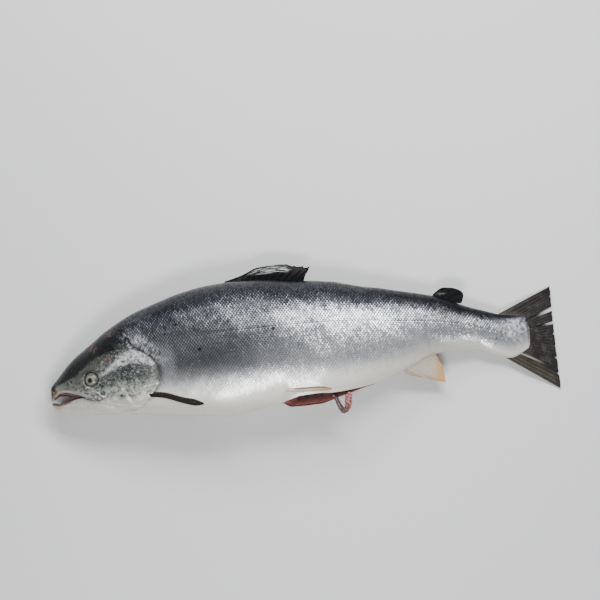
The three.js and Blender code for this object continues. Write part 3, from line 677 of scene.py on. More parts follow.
CHEEK_GLINT = [(60, 8), (79, 17), (93, 25), (106, 32), (124, 35), (139, 31), (150, 26), (165, 24)]

upper_lip, lower_lip = curve(UPPER_LIP), curve(LOWER_LIP)
left_columns = HALF - CUT_COLUMNS
plain_step = (np.pi - REST_GAP) / left_columns
corner_angle = float(angle_at(MOUTH_CORNER, upper_lip(MOUTH_CORNER)))
UPPER_COLUMN = round(corner_angle / plain_step) - LIP_COLUMNS // 2
LOWER_COLUMN = UPPER_COLUMN + LIP_COLUMNS


def lip_angles(x):
    """The angles of the upper and the lower lip on the left. Behind the corner they run on over the cheek
    as two lines that part slowly."""
    gape = np.minimum(x, MOUTH_CORNER)
    cheek = upper_lip(MOUTH_CORNER) - 0.1 * (x - MOUTH_CORNER)
    part = 0.002 + (LIP_COLUMNS * plain_step / 2 - 0.002) * ease(MOUTH_CORNER, MOUTH_CORNER + 28, x)
    middle = angle_at(np.maximum(x, 1), cheek)
    upper = np.where(x < MOUTH_CORNER, angle_at(x, upper_lip(gape)), middle - part)
    lower = np.where(x < MOUTH_CORNER, angle_at(x, lower_lip(gape)), middle + part)
    return upper, np.maximum(lower, upper + 0.004)


def head_angles(x, column):
    """The angle of each column at x, mirrored on the right side: straight lines between the back, the
    lips and the belly in front, which ease into the trunk's own columns further back."""
    left = np.minimum(column, AROUND - column)
    upper, lower = lip_angles(x)
    belly = np.maximum(np.pi - REST_GAP, lower)
    over = left / UPPER_COLUMN * upper
    gape = upper + (left - UPPER_COLUMN) / LIP_COLUMNS * (lower - upper)
    under = lower + (left - LOWER_COLUMN) / (left_columns - LOWER_COLUMN) * (belly - lower)
    throat = belly + (left - left_columns) / CUT_COLUMNS * (np.pi - belly)
    part = [left <= UPPER_COLUMN, left <= LOWER_COLUMN, left <= left_columns]
    lipped = np.select(part, [over, gape, under], throat)
    lipped = np.where(column <= HALF, lipped, 2 * np.pi - lipped)
    return lipped + (trunk_angles(np.full_like(x, WHOLE), column) - lipped) * ease(56, 96, x)


def head_relief(x, y):
    """How far the head's skin stands over the plain form, in side view: the gill cover and its bones, the
    rim and the socket of the eye, the nostrils, the jaw bone, and the folds of the throat."""
    relief = COVER_PROUD * ease(90, 132, x) * ease(54, 44, y) * ease(-43, -36, y)
    cheek = ease(-36, -30, y) * ease(48, 40, y)
    from_cheek = x - curve(CHEEK_EDGE)(y)
    relief += cheek * (0.5 * bell(from_cheek, 4.4) - 0.35 * bell(from_cheek - 6, 1.8))
    relief -= 0.7 * bell(y - curve([(100, -6), (130, -10), (158, -7)])(x), 1.1) * ease(104, 112, x)
    relief -= 0.7 * bell(y - curve([(84, -26), (118, -31), (140, -27)])(x), 1.2) * ease(80, 90, x)
    folds = ease(-29, -33, y) * ease(58, 84, x) * ease(142, 122, x)
    relief += folds * 0.55 * np.sin(2 * np.pi * (y + 0.16 * x) / 5.2)
    away = np.hypot(x - EYE_X, (y - EYE_Y) * 1.04)
    relief += 0.9 * bell(away - EYE_RADIUS - 1.9, 1.7) - 4.5 * ease(EYE_RADIUS + 0.9, EYE_RADIUS - 1.4, away)
    relief -= 0.7 * bell(away - 18, 1.5) * ease(3, -5, y) * ease(36, 44, x)
    relief += 1.0 * bell(away - 16, 2.6) * ease(15, 24, y)
    for nostril_x, nostril_y in NOSTRILS:
        hole = np.hypot(x - nostril_x, y - nostril_y)
        relief += 0.35 * bell(hole - 2, 0.8) - 2 * ease(1.6, 0.6, hole)
    bone = ease(-0.7, 0.7, y - curve(JAW_BONE_LOW)(x)) * ease(-0.9, 0.9, curve(JAW_BONE_HIGH)(x) - y)
    relief += bone * ease(3, 10, x) * ease(78.5, 76, x) * (1.5 + 0.35 * np.sin(x / 9))
    relief += 0.8 * bell(y + 23.5 + 0.04 * (x - 25), 3.5) * ease(52, 40, x) * ease(2, 9, x)
    jaw_line = curve([(44, -19), (70, -26), (100, -34)])(x)
    relief -= 0.9 * bell(y - jaw_line, 1.6) * ease(42, 54, x) * ease(104, 90, x)
    return relief + hills(x, y, *HEAD_HILLS) * ease(2, 12, x)


def head_grid(x, column):
    """Points of the head's skin with its relief, and the angles they have. The lips curl inwards."""
    angle = head_angles(x, column)
    bare = skin(x, angle)
    left = np.minimum(angle, 2 * np.pi - angle)
    upper, lower = lip_angles(x)
    to_lip = np.where(left < (upper + lower) / 2, upper - left, left - lower)
    curl = -1.1 * bell(to_lip, 0.045) * ease(MOUTH_CORNER, MOUTH_CORNER - 12, x) * ease(1, 6, x)
    flush = ease(0, 5, start_x - x) + (1 - ease(0, 5, start_x - x)) * covered
    relief = head_relief(x, section(x, left)[0]) * flush + curl
    return bare + normals_of(bare) * relief[..., None], angle


ring = np.linspace(0, 1, HEAD_RINGS)[:, None] ** 1.2
head_x = SNOUT + (start_x - SNOUT) * ring
head_points, head_angle = head_grid(head_x, column)
head_points = over_table(head_points)
from_back = np.minimum(column, AROUND - 1 - column)
open_mouth = (head_x < MOUTH_CORNER) & (from_back >= UPPER_COLUMN) & (from_back < LOWER_COLUMN)
head_faces = grid_faces(HEAD_RINGS, AROUND, closed=True, skip=open_mouth)

# The cover's rim: its edge turns under and runs back beneath the plate.
rim_x = np.stack([start_x, start_x - 0.5, start_x - 1.6, start_x - TUCK - 1])
rim_angle = np.broadcast_to(start_angle, rim_x.shape)
rim_depth = np.array([0, -1.0, -1.9, -2.6])[:, None]
plain_rim = skin(rim_x, rim_angle)
proud = COVER_PROUD * ease(90, 132, start_x) * covered
rim_points = plain_rim + normals_of(plain_rim) * (proud + rim_depth * covered)[..., None]
rim_points[0] = head_points[-1]
rim_points = over_table(rim_points)
no_rim = np.broadcast_to((covered < 0.03) & (np.roll(covered, -1) < 0.03), rim_x.shape)
rim_faces = grid_faces(len(rim_x), AROUND, closed=True, skip=no_rim, start=head_points[..., 0].size)
snout_tip = head_points[:1].mean(axis=1)
head_vertices = np.concatenate([head_points.reshape(-1, 3), rim_points.reshape(-1, 3), snout_tip])
first_ring = np.arange(AROUND)
snout_centre = np.full(AROUND, len(head_vertices) - 1)
nose_faces = np.stack([np.roll(first_ring, -1), first_ring, snout_centre], axis=-1)

side_parts = side_view(head_x, head_angle), side_view(rim_x, rim_angle), np.array([[0, -9 * MM]])
head_side = np.concatenate([pairs.reshape(-1, 2) for pairs in side_parts])
side_x, side_y = (head_side / MM).T
# How far each point lies from the lines that the colours follow.
head_maps = {
    "side": head_side,
    "lips": together(side_y - upper_lip(side_x), side_y - lower_lip(side_x)),
    "bone": together(side_y - curve(JAW_BONE_LOW)(side_x), curve(JAW_BONE_HIGH)(side_x) - side_y),
    "cover": together(side_x - curve(CHEEK_EDGE)(side_y), side_x - head_edge(side_y)),
    "crown": together(side_y - curve(CROWN_EDGE)(side_x), side_y - curve(CHEEK_GLINT)(side_x)),
}
head = make_piece("head", head_vertices, [head_faces, rim_faces, nose_faces], head_maps)

OLIVE, BRONZE = (0.085, 0.088, 0.065), (0.16, 0.1, 0.085)
BLACK, BROWN = (0.01, 0.01, 0.012), (0.07, 0.028, 0.02)
# From the throat to the crown: (height, colour). Then marks of the skin: (colour, strength, x, y, half
# length, half height, softness, turn). The bronze ones over the crown are painted twice, under and over
# its black.
HEAD_GROUND = [
    (0.0, (0.7, 0.64, 0.54)), (0.24, (0.7, 0.66, 0.57)), (0.32, (0.56, 0.57, 0.52)),
    (0.45, (0.42, 0.44, 0.39)), (0.56, (0.22, 0.24, 0.2)), (0.7, (0.1, 0.105, 0.1)),
    (0.9, (0.05, 0.05, 0.048)),
]
HEAD_MARKS = [
    (OLIVE, 0.8, 46, 8, 27, 14, 0.5, 12), (OLIVE, 0.6, 74, 28, 14, 9, 0.6, 35),
    ((0.022, 0.022, 0.032), 0.9, 115, 12, 29, 12, 0.6, -3),
    ((0.03, 0.03, 0.033), 0.8, 84, 5, 14, 9, 0.5, 20), (BRONZE, 0.8, 68, 52, 6, 4.5, 0.6, 35),
    (BRONZE, 0.6, 94, 72, 8, 4, 0.6, 30), (BRONZE, 0.6, 90, 37, 7, 4, 0.6, 20),
    (BLACK, 1.0, 72, 1.5, 4, 7, 0.5, 30), (BLACK, 1.0, 131.5, 27, 3.8, 3.2, 0.4, 0),
    ((0.04, 0.04, 0.04), 1.0, 70, -12, 8, 3, 0.6, -25),
    ((0.05, 0.05, 0.055), 0.9, 62, -2.5, 11, 2.5, 0.6, 8),
    ((0.06, 0.06, 0.05), 0.9, 101, -18, 6, 2.5, 0.6, 0),
    ((0.06, 0.06, 0.05), 0.9, 115, -18, 4, 2.5, 0.6, 0),
    ((0.08, 0.07, 0.06), 0.8, 123, -39.5, 12, 1.4, 0.6, -6), (BROWN, 1.0, 5, -2, 6, 8, 0.5, 10),
    (BROWN, 0.8, 74, -17.5, 5, 2.2, 0.5, -10), ((0.62, 0.36, 0.22), 0.7, 6, -23, 10, 5, 0.5, 0),
]


def head_skin():
    """Black-olive over the crown, bronze-green round the eye, marbled grey over the gill cover and
    silver-white to cream below, all of it wet."""
    paint = Paint("head_skin")
    x, y, side = paint.uv("side")
    upper, lower, _ = paint.uv("lips")
    over_bone, under_bone, _ = paint.uv("bone")
    _, edge, _ = paint.uv("cover")
    crown, glint, _ = paint.uv("crown")
    here = paint.here()
    wander = paint.noise(here, 55, 3) - 0.5
    marble = paint.noise(here, 130, 4, 0.65)
    fine = paint.noise(here, 420, 3, 0.6)
    middling = paint.noise(here, 240, 4, 0.7)

    depth = y / MM + wander * 9
    colour = paint.add("ValToRGB", {"stops": HEAD_GROUND}, {0: (depth + 50) / 100})
    spread = paint.band(-30, -12, depth) * paint.band(0.03, 0.075, x)
    colour = paint.mix(paint.band(0.5, 0.6, marble) * spread * 0.75, colour, (0.1, 0.115, 0.085))
    colour = paint.mix(paint.band(0.44, 0.34, marble) * spread * 0.55, colour, (0.6, 0.61, 0.58))
    for shade, strength, *ellipse in HEAD_MARKS:
        mark = paint.spot(side, *ellipse) * (0.35 + paint.band(0.38, 0.58, middling) * 0.7)
        colour = paint.mix(paint.math("MINIMUM", mark * strength, 1), colour, shade)
    speck = paint.band(0.56, 0.64, fine) * paint.band(-18, 0, depth) * paint.band(0.05, 0.07, x)
    colour = paint.mix(speck * 0.8, colour, (0.02, 0.02, 0.024))
    fleck = paint.band(0.42, 0.34, fine) * paint.band(-16, 4, depth) * paint.band(0.05, 0.08, x)
    colour = paint.mix(fleck * 0.5, colour, (0.55, 0.57, 0.58))
    pale = paint.noise(here, 170, 5, 0.75, stretch=(0.7, 1.1, 1))
    plate = paint.spot(side, 96, 4, 66, 28, 0.4, 4)
    colour = paint.mix(paint.band(0.5, 0.64, middling) * plate * 0.6, colour, (0.05, 0.055, 0.055))
    colour = paint.mix(paint.band(0.54, 0.7, pale) * plate * 0.75, colour, (0.68, 0.69, 0.71))
    wide = 3 + paint.band(0.08, 0.12, x) * 5.5
    light = paint.band(3, -2.5, abs(glint + wander * 11) - wide)
    light = light * paint.band(0.068, 0.084, x)
    broken = paint.band(0.4, 0.52, marble * 0.5 + middling * 0.5) * 0.75 + paint.band(0.46, 0.6, pale) * 0.25
    glare = paint.mix(paint.band(0.48, 0.62, fine), (0.94, 0.94, 0.96), (0.4, 0.42, 0.43))
    colour = paint.mix(light * broken * 0.9, colour, glare)
    cheek_dark = paint.spot(side, 66, -9, 20, 9, 0.5, -18)
    colour = paint.mix(paint.band(0.5, 0.58, middling) * cheek_dark * 0.85, colour, (0.03, 0.03, 0.03))
    colour = paint.mix(paint.band(0.52, 0.64, pale) * cheek_dark * 0.85, colour, (0.78, 0.78, 0.77))
    dark_top = paint.band(-3, 3, crown + wander * 14)
    colour = paint.mix(dark_top * 0.95, colour, (0.012, 0.0125, 0.0145))
    scaly = dark_top * paint.band(0.095, 0.12, x) * paint.band(0.5, 0.42, middling)
    colour = paint.mix(scaly * 0.8, colour, (0.22, 0.24, 0.27))
    for shade, _, *ellipse in HEAD_MARKS[4:6]:
        colour = paint.mix(paint.spot(side, *ellipse) * paint.band(0.42, 0.6, middling) * 0.8, colour, shade)
    freckle = paint.band(0.6, 0.7, fine) * dark_top
    colour = paint.mix(freckle * 0.35, colour, (0.14, 0.145, 0.15))
    bone = paint.band(-0.4, 0.6, over_bone) * paint.band(-0.4, 0.6, under_bone) * paint.band(0.079, 0.074, x)
    shaft = bone * paint.band(0.02, 0.04, x) * paint.band(0.42, 0.54, middling)
    colour = paint.mix(shaft * 0.8, colour, (0.5, 0.5, 0.48))
    colour = paint.mix(bone * paint.band(0.48, 0.56, middling) * 0.8, colour, (0.07, 0.065, 0.06))
    under = paint.band(-2.4, -0.6, over_bone) * paint.band(0.4, -0.4, over_bone) * paint.band(0.08, 0.07, x)
    colour = paint.mix(under * paint.band(0.03, 0.04, x) * 0.9, colour, (0.035, 0.015, 0.012))
    # Painted shadow: a dark line along the gill cover's free edge and its turned-under rim, where the plate
    # stands over the trunk.
    rim = paint.band(-2.6, -0.8, edge + wander * 2)
    rim = rim * paint.band(-0.04, -0.034, y) * paint.band(0.056, 0.05, y)
    colour = paint.mix(rim * (0.35 + paint.band(0.015, 0.03, y) * 0.5), colour, (0.025, 0.025, 0.028))
    peach = paint.band(0.3, 1.4, upper) * paint.band(4.6, 2.6, upper)
    peach = peach * paint.band(0.046, 0.036, x) * paint.band(0.004, 0.01, x)
    colour = paint.mix(peach * 0.85, colour, (0.6, 0.46, 0.38))
    gum = paint.band(-4.2, -2.4, lower + wander * 3)
    gum = gum * paint.band(0.8, 0.2, lower) * paint.band(0.034, 0.024, x)
    edges = paint.band(1.0, 0.3, abs(upper)) + paint.band(1.0, 0.3, abs(lower))
    dark_lip = paint.math("MINIMUM", gum + edges * paint.band(0.053, 0.048, x), 1)
    colour = paint.mix(dark_lip * 0.85, colour, (0.06, 0.03, 0.038))
    round_eye = paint.spot(side, EYE_X, EYE_Y, 13, 13, 0.1) * (0.05 + paint.spot(side, 57, 20, 8, 5) * 0.6)
    colour = paint.mix(round_eye, colour, (0.02, 0.02, 0.018))
    for nostril_x, nostril_y in NOSTRILS:
        colour = paint.mix(paint.spot(side, nostril_x, nostril_y, 1.6, 1.6, 0.3), colour, (0.01, 0.01, 0.01))

    relief = paint.bump(marble * 0.6 + fine * 0.5, 0.0007, 0.6)
    return paint.wear(
        Base_Color=colour,
        Metallic=paint.band(-34, -10, depth) * 0.4 + dark_top * paint.band(0.05, 0.1, x) * 0.3,
        Roughness=0.3 + marble * 0.14,
        Normal=relief,
        Coat_Weight=0.35 - dark_top * 0.25,
        Coat_Roughness=0.1,
    )


finish_piece(head, head_skin(), "skin", "body")


# ----------------------------------------------------------------------------------------------------
# The mouth: a thin wet lining of flesh behind the lips, and a pale tongue on its floor between the jaws.
# The lining is two walls, each stretched from lip to lip.

MOUTH_ROWS, MOUTH_COLUMNS = 80, 49
PALATE_ARCH, FLOOR_DIP = 5.0, 5.5
LIP_INSET = 0.04  # how far the lining starts inside the lips, as a part of the mouth's width
TONGUE_FROM, TONGUE_TO, TONGUE_WIDE, TONGUE_HIGH = 13, 46, 6, 7
TONGUE_RINGS, TONGUE_AROUND = 60, 48

mouth_x = np.linspace(0.6, MOUTH_CORNER + 3, MOUTH_ROWS)[:, None]
across = np.linspace(0, 1, MOUTH_COLUMNS)[None]
upper_angle, lower_angle = lip_angles(np.minimum(mouth_x, MOUTH_CORNER - 0.5))


def mouth_wall(lip_angle, bow):
    """A wall of the mouth: straight from the lip on the left to the lip on the right, each drawn in a
    little, and bowed away from the middle by a sine."""
    left, right = skin(mouth_x, lip_angle), skin(mouth_x, 2 * np.pi - lip_angle)
    wall = left + (right - left) * (LIP_INSET + (1 - 2 * LIP_INSET) * across)[..., None]
    shrink = ease(MOUTH_CORNER + 4, MOUTH_CORNER - 14, mouth_x) * ease(2, 12, mouth_x)
    wall[..., 1] += bow * shrink * np.sin(np.pi * across) ** 0.6
    return wall


walls = np.stack([mouth_wall(upper_angle, PALATE_ARCH), mouth_wall(lower_angle, -FLOOR_DIP)])
one_wall = grid_faces(MOUTH_ROWS, MOUTH_COLUMNS)
lining = make_piece("mouth_lining", walls, [one_wall, one_wall[:, ::-1] + MOUTH_ROWS * MOUTH_COLUMNS])


def mouth_skin(name, colour, dark):
    """Wet flesh of two colours in soft patches."""
    paint = Paint(name)
    mottle = paint.noise(paint.here(), 240, 3)
    shade = paint.mix(paint.band(0.45, 0.65, mottle), colour, dark)
    return paint.wear(Base_Color=shade, Roughness=0.25, Normal=paint.bump(mottle, 0.0004), Coat_Weight=0.5)


finish_piece(lining, mouth_skin("mouth_lining", (0.24, 0.1, 0.08), (0.1, 0.035, 0.035)), "mouth", "body")


def tube_faces(rows, columns):
    """The faces of a closed tube of rings, with a fan over each end."""
    ring = np.arange(1, columns - 1)
    last = (rows - 1) * columns
    fan = np.stack([ring, ring + 1, 0 * ring], axis=-1)
    return [grid_faces(rows, columns, closed=True)[:, ::-1], fan, fan[:, ::-1] + last]


# The tongue is a tube with a blunt tip and root, and a groove along its top. It fills the gape at most.
tongue_s = np.linspace(0, 1, TONGUE_RINGS)[:, None]
tongue_turn = np.linspace(0, 2 * np.pi, TONGUE_AROUND, endpoint=False)[None]
tongue_x = TONGUE_FROM + (TONGUE_TO - TONGUE_FROM) * tongue_s
tip, root = [np.sqrt(np.clip(1 - short, 0.0004, 1)) for short in ((1 - tongue_s) ** 4, tongue_s**8)]
size = tip * root
low = lower_lip(tongue_x) + 0.3
high = np.minimum(TONGUE_HIGH * size, upper_lip(tongue_x) - lower_lip(tongue_x) - 0.6)
groove = 0.5 * bell(tongue_turn - np.pi / 2, 0.25) * size
tongue_y = low + high * (1 + np.sin(tongue_turn)) / 2 - groove
tongue_z = middle_height(tongue_x) + TONGUE_WIDE * size * np.cos(tongue_turn)
tongue_points = together(tongue_x, tongue_y, tongue_z)
tongue = make_piece("tongue", tongue_points, tube_faces(TONGUE_RINGS, TONGUE_AROUND))
finish_piece(tongue, mouth_skin("tongue", (0.72, 0.56, 0.5), (0.62, 0.42, 0.38)), "mouth", "tongue")


# ----------------------------------------------------------------------------------------------------
# The eyes: flattened clear balls set in their sockets, with a black pupil in a narrow gold ring, a dark
# iris and a grey-green rim. Both sides are alike.

EYE_AXIS, EYE_SUNK = 7.9, 4.0  # half thickness of the ball, and its centre's depth under the skin
EYE_ROWS, EYE_COLUMNS = 48, 96
EYE_WRAP = 0.72  # how far round the ball goes from its front to its back
PUPIL = np.array([0.1, -1.7]) * MM  # the pupil looks a little down


def on_skin(x, y, out=0.0, side=1):
    """The skin under a place in side view, moved out along its normal: on the left flank, or the right
    one with side -1. The normal is the cross product of two small steps on the skin."""
    angle = side * angle_at(x, y)
    step = 0.02
    point = skin(x, angle)
    round_it = skin(x, angle + side * step) - skin(x, angle - side * step)
    along_it = skin(x + 1, angle) - skin(x - 1, angle)
    return point + unit(side * np.cross(round_it, along_it)) * np.asarray(out)[..., None]


def eyeball(name, side):
    """A ball squashed along the skin's normal: polar angle by turn, from its front to past its widest."""
    polar = np.linspace(0.01, EYE_WRAP * np.pi, EYE_ROWS)[:, None]
    turn = np.linspace(0, 2 * np.pi, EYE_COLUMNS, endpoint=False)[None]
    centre = on_skin(EYE_X, EYE_Y, -EYE_SUNK, side)
    out = on_skin(EYE_X, EYE_Y, 1.0, side) - on_skin(EYE_X, EYE_Y, 0.0, side)
    along = unit(np.array([1.0, 0, 0]) - out * out[0])
    up = np.cross(out, along) * side
    flat_x, flat_y = [EYE_RADIUS * np.sin(polar) * wave(turn) for wave in (np.cos, np.sin)]
    height = EYE_AXIS * np.cos(polar) + 0 * turn
    points = centre + flat_x[..., None] * along + flat_y[..., None] * up + height[..., None] * out
    pole = centre + EYE_AXIS * out
    rows = grid_faces(EYE_ROWS, EYE_COLUMNS, closed=True)
    ring = np.arange(EYE_COLUMNS)
    cap = np.stack([np.roll(ring, -1), ring, np.full(EYE_COLUMNS, EYE_ROWS * EYE_COLUMNS)], axis=-1)
    rows, cap = (rows[:, ::-1], cap[:, ::-1]) if side > 0 else (rows, cap)
    flat = np.concatenate([together(flat_x, flat_y).reshape(-1, 2), [[0, 0]]]) * MM - PUPIL
    return make_piece(name, np.concatenate([points.reshape(-1, 3), pole[None]]), [rows, cap], {"eye": flat})


RING_SCALE = 11  # the distance in millimetres that counts as 1 in the next list
# From the middle of the pupil outwards: (distance, colour).
EYE_RINGS = [
    (0.0, (0.004, 0.005, 0.008)), (0.24, (0.006, 0.008, 0.014)), (0.29, (0.05, 0.05, 0.04)),
    (0.34, (0.24, 0.2, 0.14)), (0.48, (0.27, 0.235, 0.17)), (0.56, (0.36, 0.34, 0.22)),
    (0.62, (0.085, 0.095, 0.075)), (0.95, (0.1, 0.11, 0.085)),
]


def eye_gloss():
    """The pupil and the iris as rings of colour with ragged borders, flecked, under a clear wet skin."""
    paint = Paint("eye")
    _, _, place = paint.uv("eye")
    radius = paint.vectors("LENGTH", place, out="Value") / MM
    mottle = paint.noise(place, 500, 3)
    ragged = radius + (mottle - 0.5) * 1.6
    colour = paint.add("ValToRGB", {"stops": EYE_RINGS}, {0: ragged / RING_SCALE})
    flecks = paint.band(0.5, 0.6, paint.noise(place, 700, 3)) * paint.band(3.4, 4.5, radius)
    colour = paint.mix(flecks * 0.45, colour, (0.04, 0.045, 0.04))
    return paint.wear(Base_Color=colour, Roughness=0.3, Coat_Weight=0.15, Coat_Roughness=0.04)


eye_material = eye_gloss()
finish_piece(eyeball("left_eye", 1), eye_material, "eye", "eye_left")
finish_piece(eyeball("right_eye", -1), eye_material, "eye", "eye_right")


# ----------------------------------------------------------------------------------------------------
# The fins over the back: thin skin stretched over bony rays. The dorsal fin lies half folded, black with
# a few pale streaks, painted highlights along its rays, and a ragged rear tip. The adipose fin is a small
# fleshy lobe without rays, black with a painted highlight.

FIN_THICK = (2.6, 0.7)  # thickness of a fin at its root and at its edge
FIN_ROWS, FIN_COLUMNS = 220, 44


def path(points):
    """A smooth line through places (x, y, s), read along s."""
    xs, ys = curve([(s, x) for x, _, s in points]), curve([(s, y) for _, y, s in points])
    return lambda s: (xs(s), ys(s))


def fin_sheet(name, root, edge, plane, rays, thick=FIN_THICK, rows=FIN_ROWS, ridge=0.22, rag=0.0):
    """A closed sheet between a root line and a free edge, s along them and t from root to edge: x and y
    are on the straight line between the two, z is the plane's height plus and minus half the thickness,
    and the rays are waves along s. The free edge is notched by rag."""
    s, t = np.linspace(0, 1, rows)[:, None], np.linspace(0, 1, FIN_COLUMNS)[None]
    (x0, y0), (x1, y1) = root(s), edge(s)
    tooth = np.abs(np.sin(np.pi * s * rays)) + 0.5 * np.sin(17.3 * s + 1.1) * np.sin(41 * s)
    reach = t * (1 - rag * tooth * t**4 * (0.15 + 0.85 * ease(0.55, 0.85, s)))
    x, y = x0 + (x1 - x0) * reach, y0 + (y1 - y0) * reach
    wave = ridge * np.cos(2 * np.pi * s * rays) * np.sin(np.pi * np.clip(t * 1.1, 0, 1)) ** 0.5
    body = thick[0] + (thick[1] - thick[0]) * t
    taper = np.clip(np.minimum(s, 1 - s) * 24, 0.25, 1)
    middle, half_thick = plane(x, y, s, t), body * taper / 2 + wave
    upper, lower = [over_table(together(x, y, middle + side * half_thick)) for side in (1, -1)]
    return sheet_piece(name, upper, lower, {"rays": together(s, t)})


def sheet_piece(name, upper, lower, uvs):
    """A closed piece from two grids of the same size, the top and the bottom, with a strip along their
    border. Its faces are turned round if they enclose a negative volume."""
    rows, columns = upper.shape[:2]
    count = rows * columns
    number = np.arange(count).reshape(rows, columns)
    border = np.concatenate([number[0, :-1], number[:-1, -1], number[-1, :0:-1], number[:0:-1, 0]])
    after = np.roll(border, -1)
    top = grid_faces(rows, columns)
    strip = together(after, border, border + count, after + count)
    faces = np.concatenate([top, top[:, ::-1] + count, strip])
    points = np.concatenate([upper.reshape(-1, 3), lower.reshape(-1, 3)])
    a, b, c, d = [points[faces[:, k]] for k in range(4)]
    volume = np.einsum("ij,ij->", a, np.cross(b, c)) + np.einsum("ij,ij->", a, np.cross(c, d))
    faces = faces if volume > 0 else faces[:, ::-1]
    doubled = {key: np.concatenate([pairs.reshape(-1, 2)] * 2) for key, pairs in uvs.items()}
    return make_piece(name, points, [faces], doubled)


def ridge_height(x, angle):
    """Height over the table of the ridge of the back, at angle 0, or of the belly, at half a turn."""
    return skin(x, angle)[..., 2]


def fin_skin(
    name, rays, colour, ray_colour, streak_colour, streaks, edge_colour, edge_from,
    spot=None, gloss=0.3, shadow=0.0,
):
    """Skin over rays: ray lines of their own colour, as many streaks along them as streaks says, and a
    free edge of another colour from edge_from on. spot keeps the streaks in an ellipse of the fin, in
    thousandths, gloss is how wet it is, and shadow darkens the fin's lower border."""
    paint = Paint(name)
    s, t, place = paint.uv("rays")
    mottle = paint.noise(place, 9, 4, 0.65, stretch=(3.0, 1.2, 1))
    wander = (mottle - 0.5) * 0.35
    along = abs(paint.math("SINE", s * (math.pi * rays) + wander))
    shade = paint.mix(paint.band(0.75, 0.2, along), colour, ray_colour)
    pale = paint.band(0.08, 0.4, t) * paint.spot(place, *spot) if spot else paint.band(0.08, 0.4, t)
    stretch = (0.5, 2.6, 1) if spot else (2.2, 0.3, 1)
    pale = pale * paint.band(0.52, 0.6, paint.noise(place, 14 if spot else 30, 3, 0.6, stretch=stretch))
    shade = paint.mix(pale * streaks, shade, streak_colour)
    edge = paint.band(edge_from, edge_from + 0.25, t + wander * 0.3) * paint.band(0.06, 0.16, s)
    shade = paint.mix(edge * 0.85, shade, edge_colour)
    if shadow:
        border = paint.band(0.62, 0.86, s) * paint.band(0.1, 0.25, t)
        shade = paint.mix(border * shadow, shade, (0.05, 0.045, 0.035))
    fine = paint.noise(place, 60, 3, 0.6, stretch=(4, 1, 1))
    relief = paint.bump(along * 0.7 + fine * 0.3, 0.0003, 0.6 if gloss > 0.2 else 0.3)
    return paint.wear(
        Base_Color=shade,
        Roughness=0.36 + mottle * 0.2,
        Normal=relief,
        Coat_Weight=gloss,
        Specular_IOR_Level=gloss,
    )


DORSAL_ROOT = path([(262, 124, 0), (318, 122, 0.5), (374, 115, 1)])
DORSAL_EDGE = path([
    (263, 131, 0), (288, 137, 0.18), (313, 146, 0.36), (345, 147, 0.56), (368, 142, 0.72),
    (387, 139.5, 0.86), (378, 128, 1),
])
dorsal = fin_sheet(
    "dorsal_fin", DORSAL_ROOT, DORSAL_EDGE,
    lambda x, y, s, t: ridge_height(x, 0.0) - 3.5 * t * t,
    13, rag=0.09,
)
# The dorsal fin's pale streaks are painted highlights, a wet sheen along its rays.
dorsal_skin = fin_skin(
    "dorsal_fin", 13, (0.004, 0.004, 0.005), (0.009, 0.009, 0.01),
    (0.85, 0.86, 0.88), 0.95, (0.004, 0.004, 0.004), 1.2,
    spot=(480, 740, 190, 200), gloss=0.04,
)
finish_piece(dorsal, dorsal_skin, "dark_fin", "dorsal_fin")

ADIPOSE_ROOT = path([(552, 74, 0), (562, 70, 0.5), (574, 66, 1)])
ADIPOSE_EDGE = path([(556, 81.5, 0), (571, 89, 0.3), (588, 86, 0.55), (599, 76, 0.8), (595, 64, 1)])
adipose = fin_sheet(
    "adipose_fin", ADIPOSE_ROOT, ADIPOSE_EDGE,
    lambda x, y, s, t: ridge_height(x, 0.0) + 2 + 5 * s * t,
    5, thick=(4.5, 1.2), rows=90, ridge=0.06,
)
# The adipose fin's pale streaks are a painted highlight on its wet lobe.
adipose_skin = fin_skin(
    "adipose_fin", 5, (0.006, 0.006, 0.007), (0.01, 0.01, 0.011),
    (0.3, 0.31, 0.33), 0.6, (0.008, 0.008, 0.008), 0.9,
    spot=(300, 560, 170, 130), gloss=0.06,
)
finish_piece(adipose, adipose_skin, "dark_fin", "adipose_fin")


# ----------------------------------------------------------------------------------------------------
# The anal fin: skin stretched over pinkish cream rays, with an orange-tan edge. It grows from the belly
# behind the cut, and is folded back under the tail stalk.

ANAL_ROOT = path([(500, -18, 0), (526, -6, 0.55), (549, 2, 1)])
ANAL_EDGE = path([(505, -29, 0), (561, -45.5, 0.16), (559.5, -26, 0.6), (553, -7, 1)])
anal = fin_sheet(
    "anal_fin", ANAL_ROOT, ANAL_EDGE,
    lambda x, y, s, t: ridge_height(x, np.pi) - 5 * t * t,
    11, rag=0.05,
)
anal_skin = fin_skin(
    "anal_fin", 14, (0.5, 0.41, 0.34), (0.62, 0.54, 0.46),
    (0.13, 0.11, 0.1), 0.3, (0.6, 0.33, 0.1), 0.58,
)
finish_piece(anal, anal_skin, "pale_fin", "anal_fin")


# ----------------------------------------------------------------------------------------------------
# The tail fin: a fan of branched rays, dark brown to black with an olive lower lobe. Its edge is worn,
# and torn twice near the top.

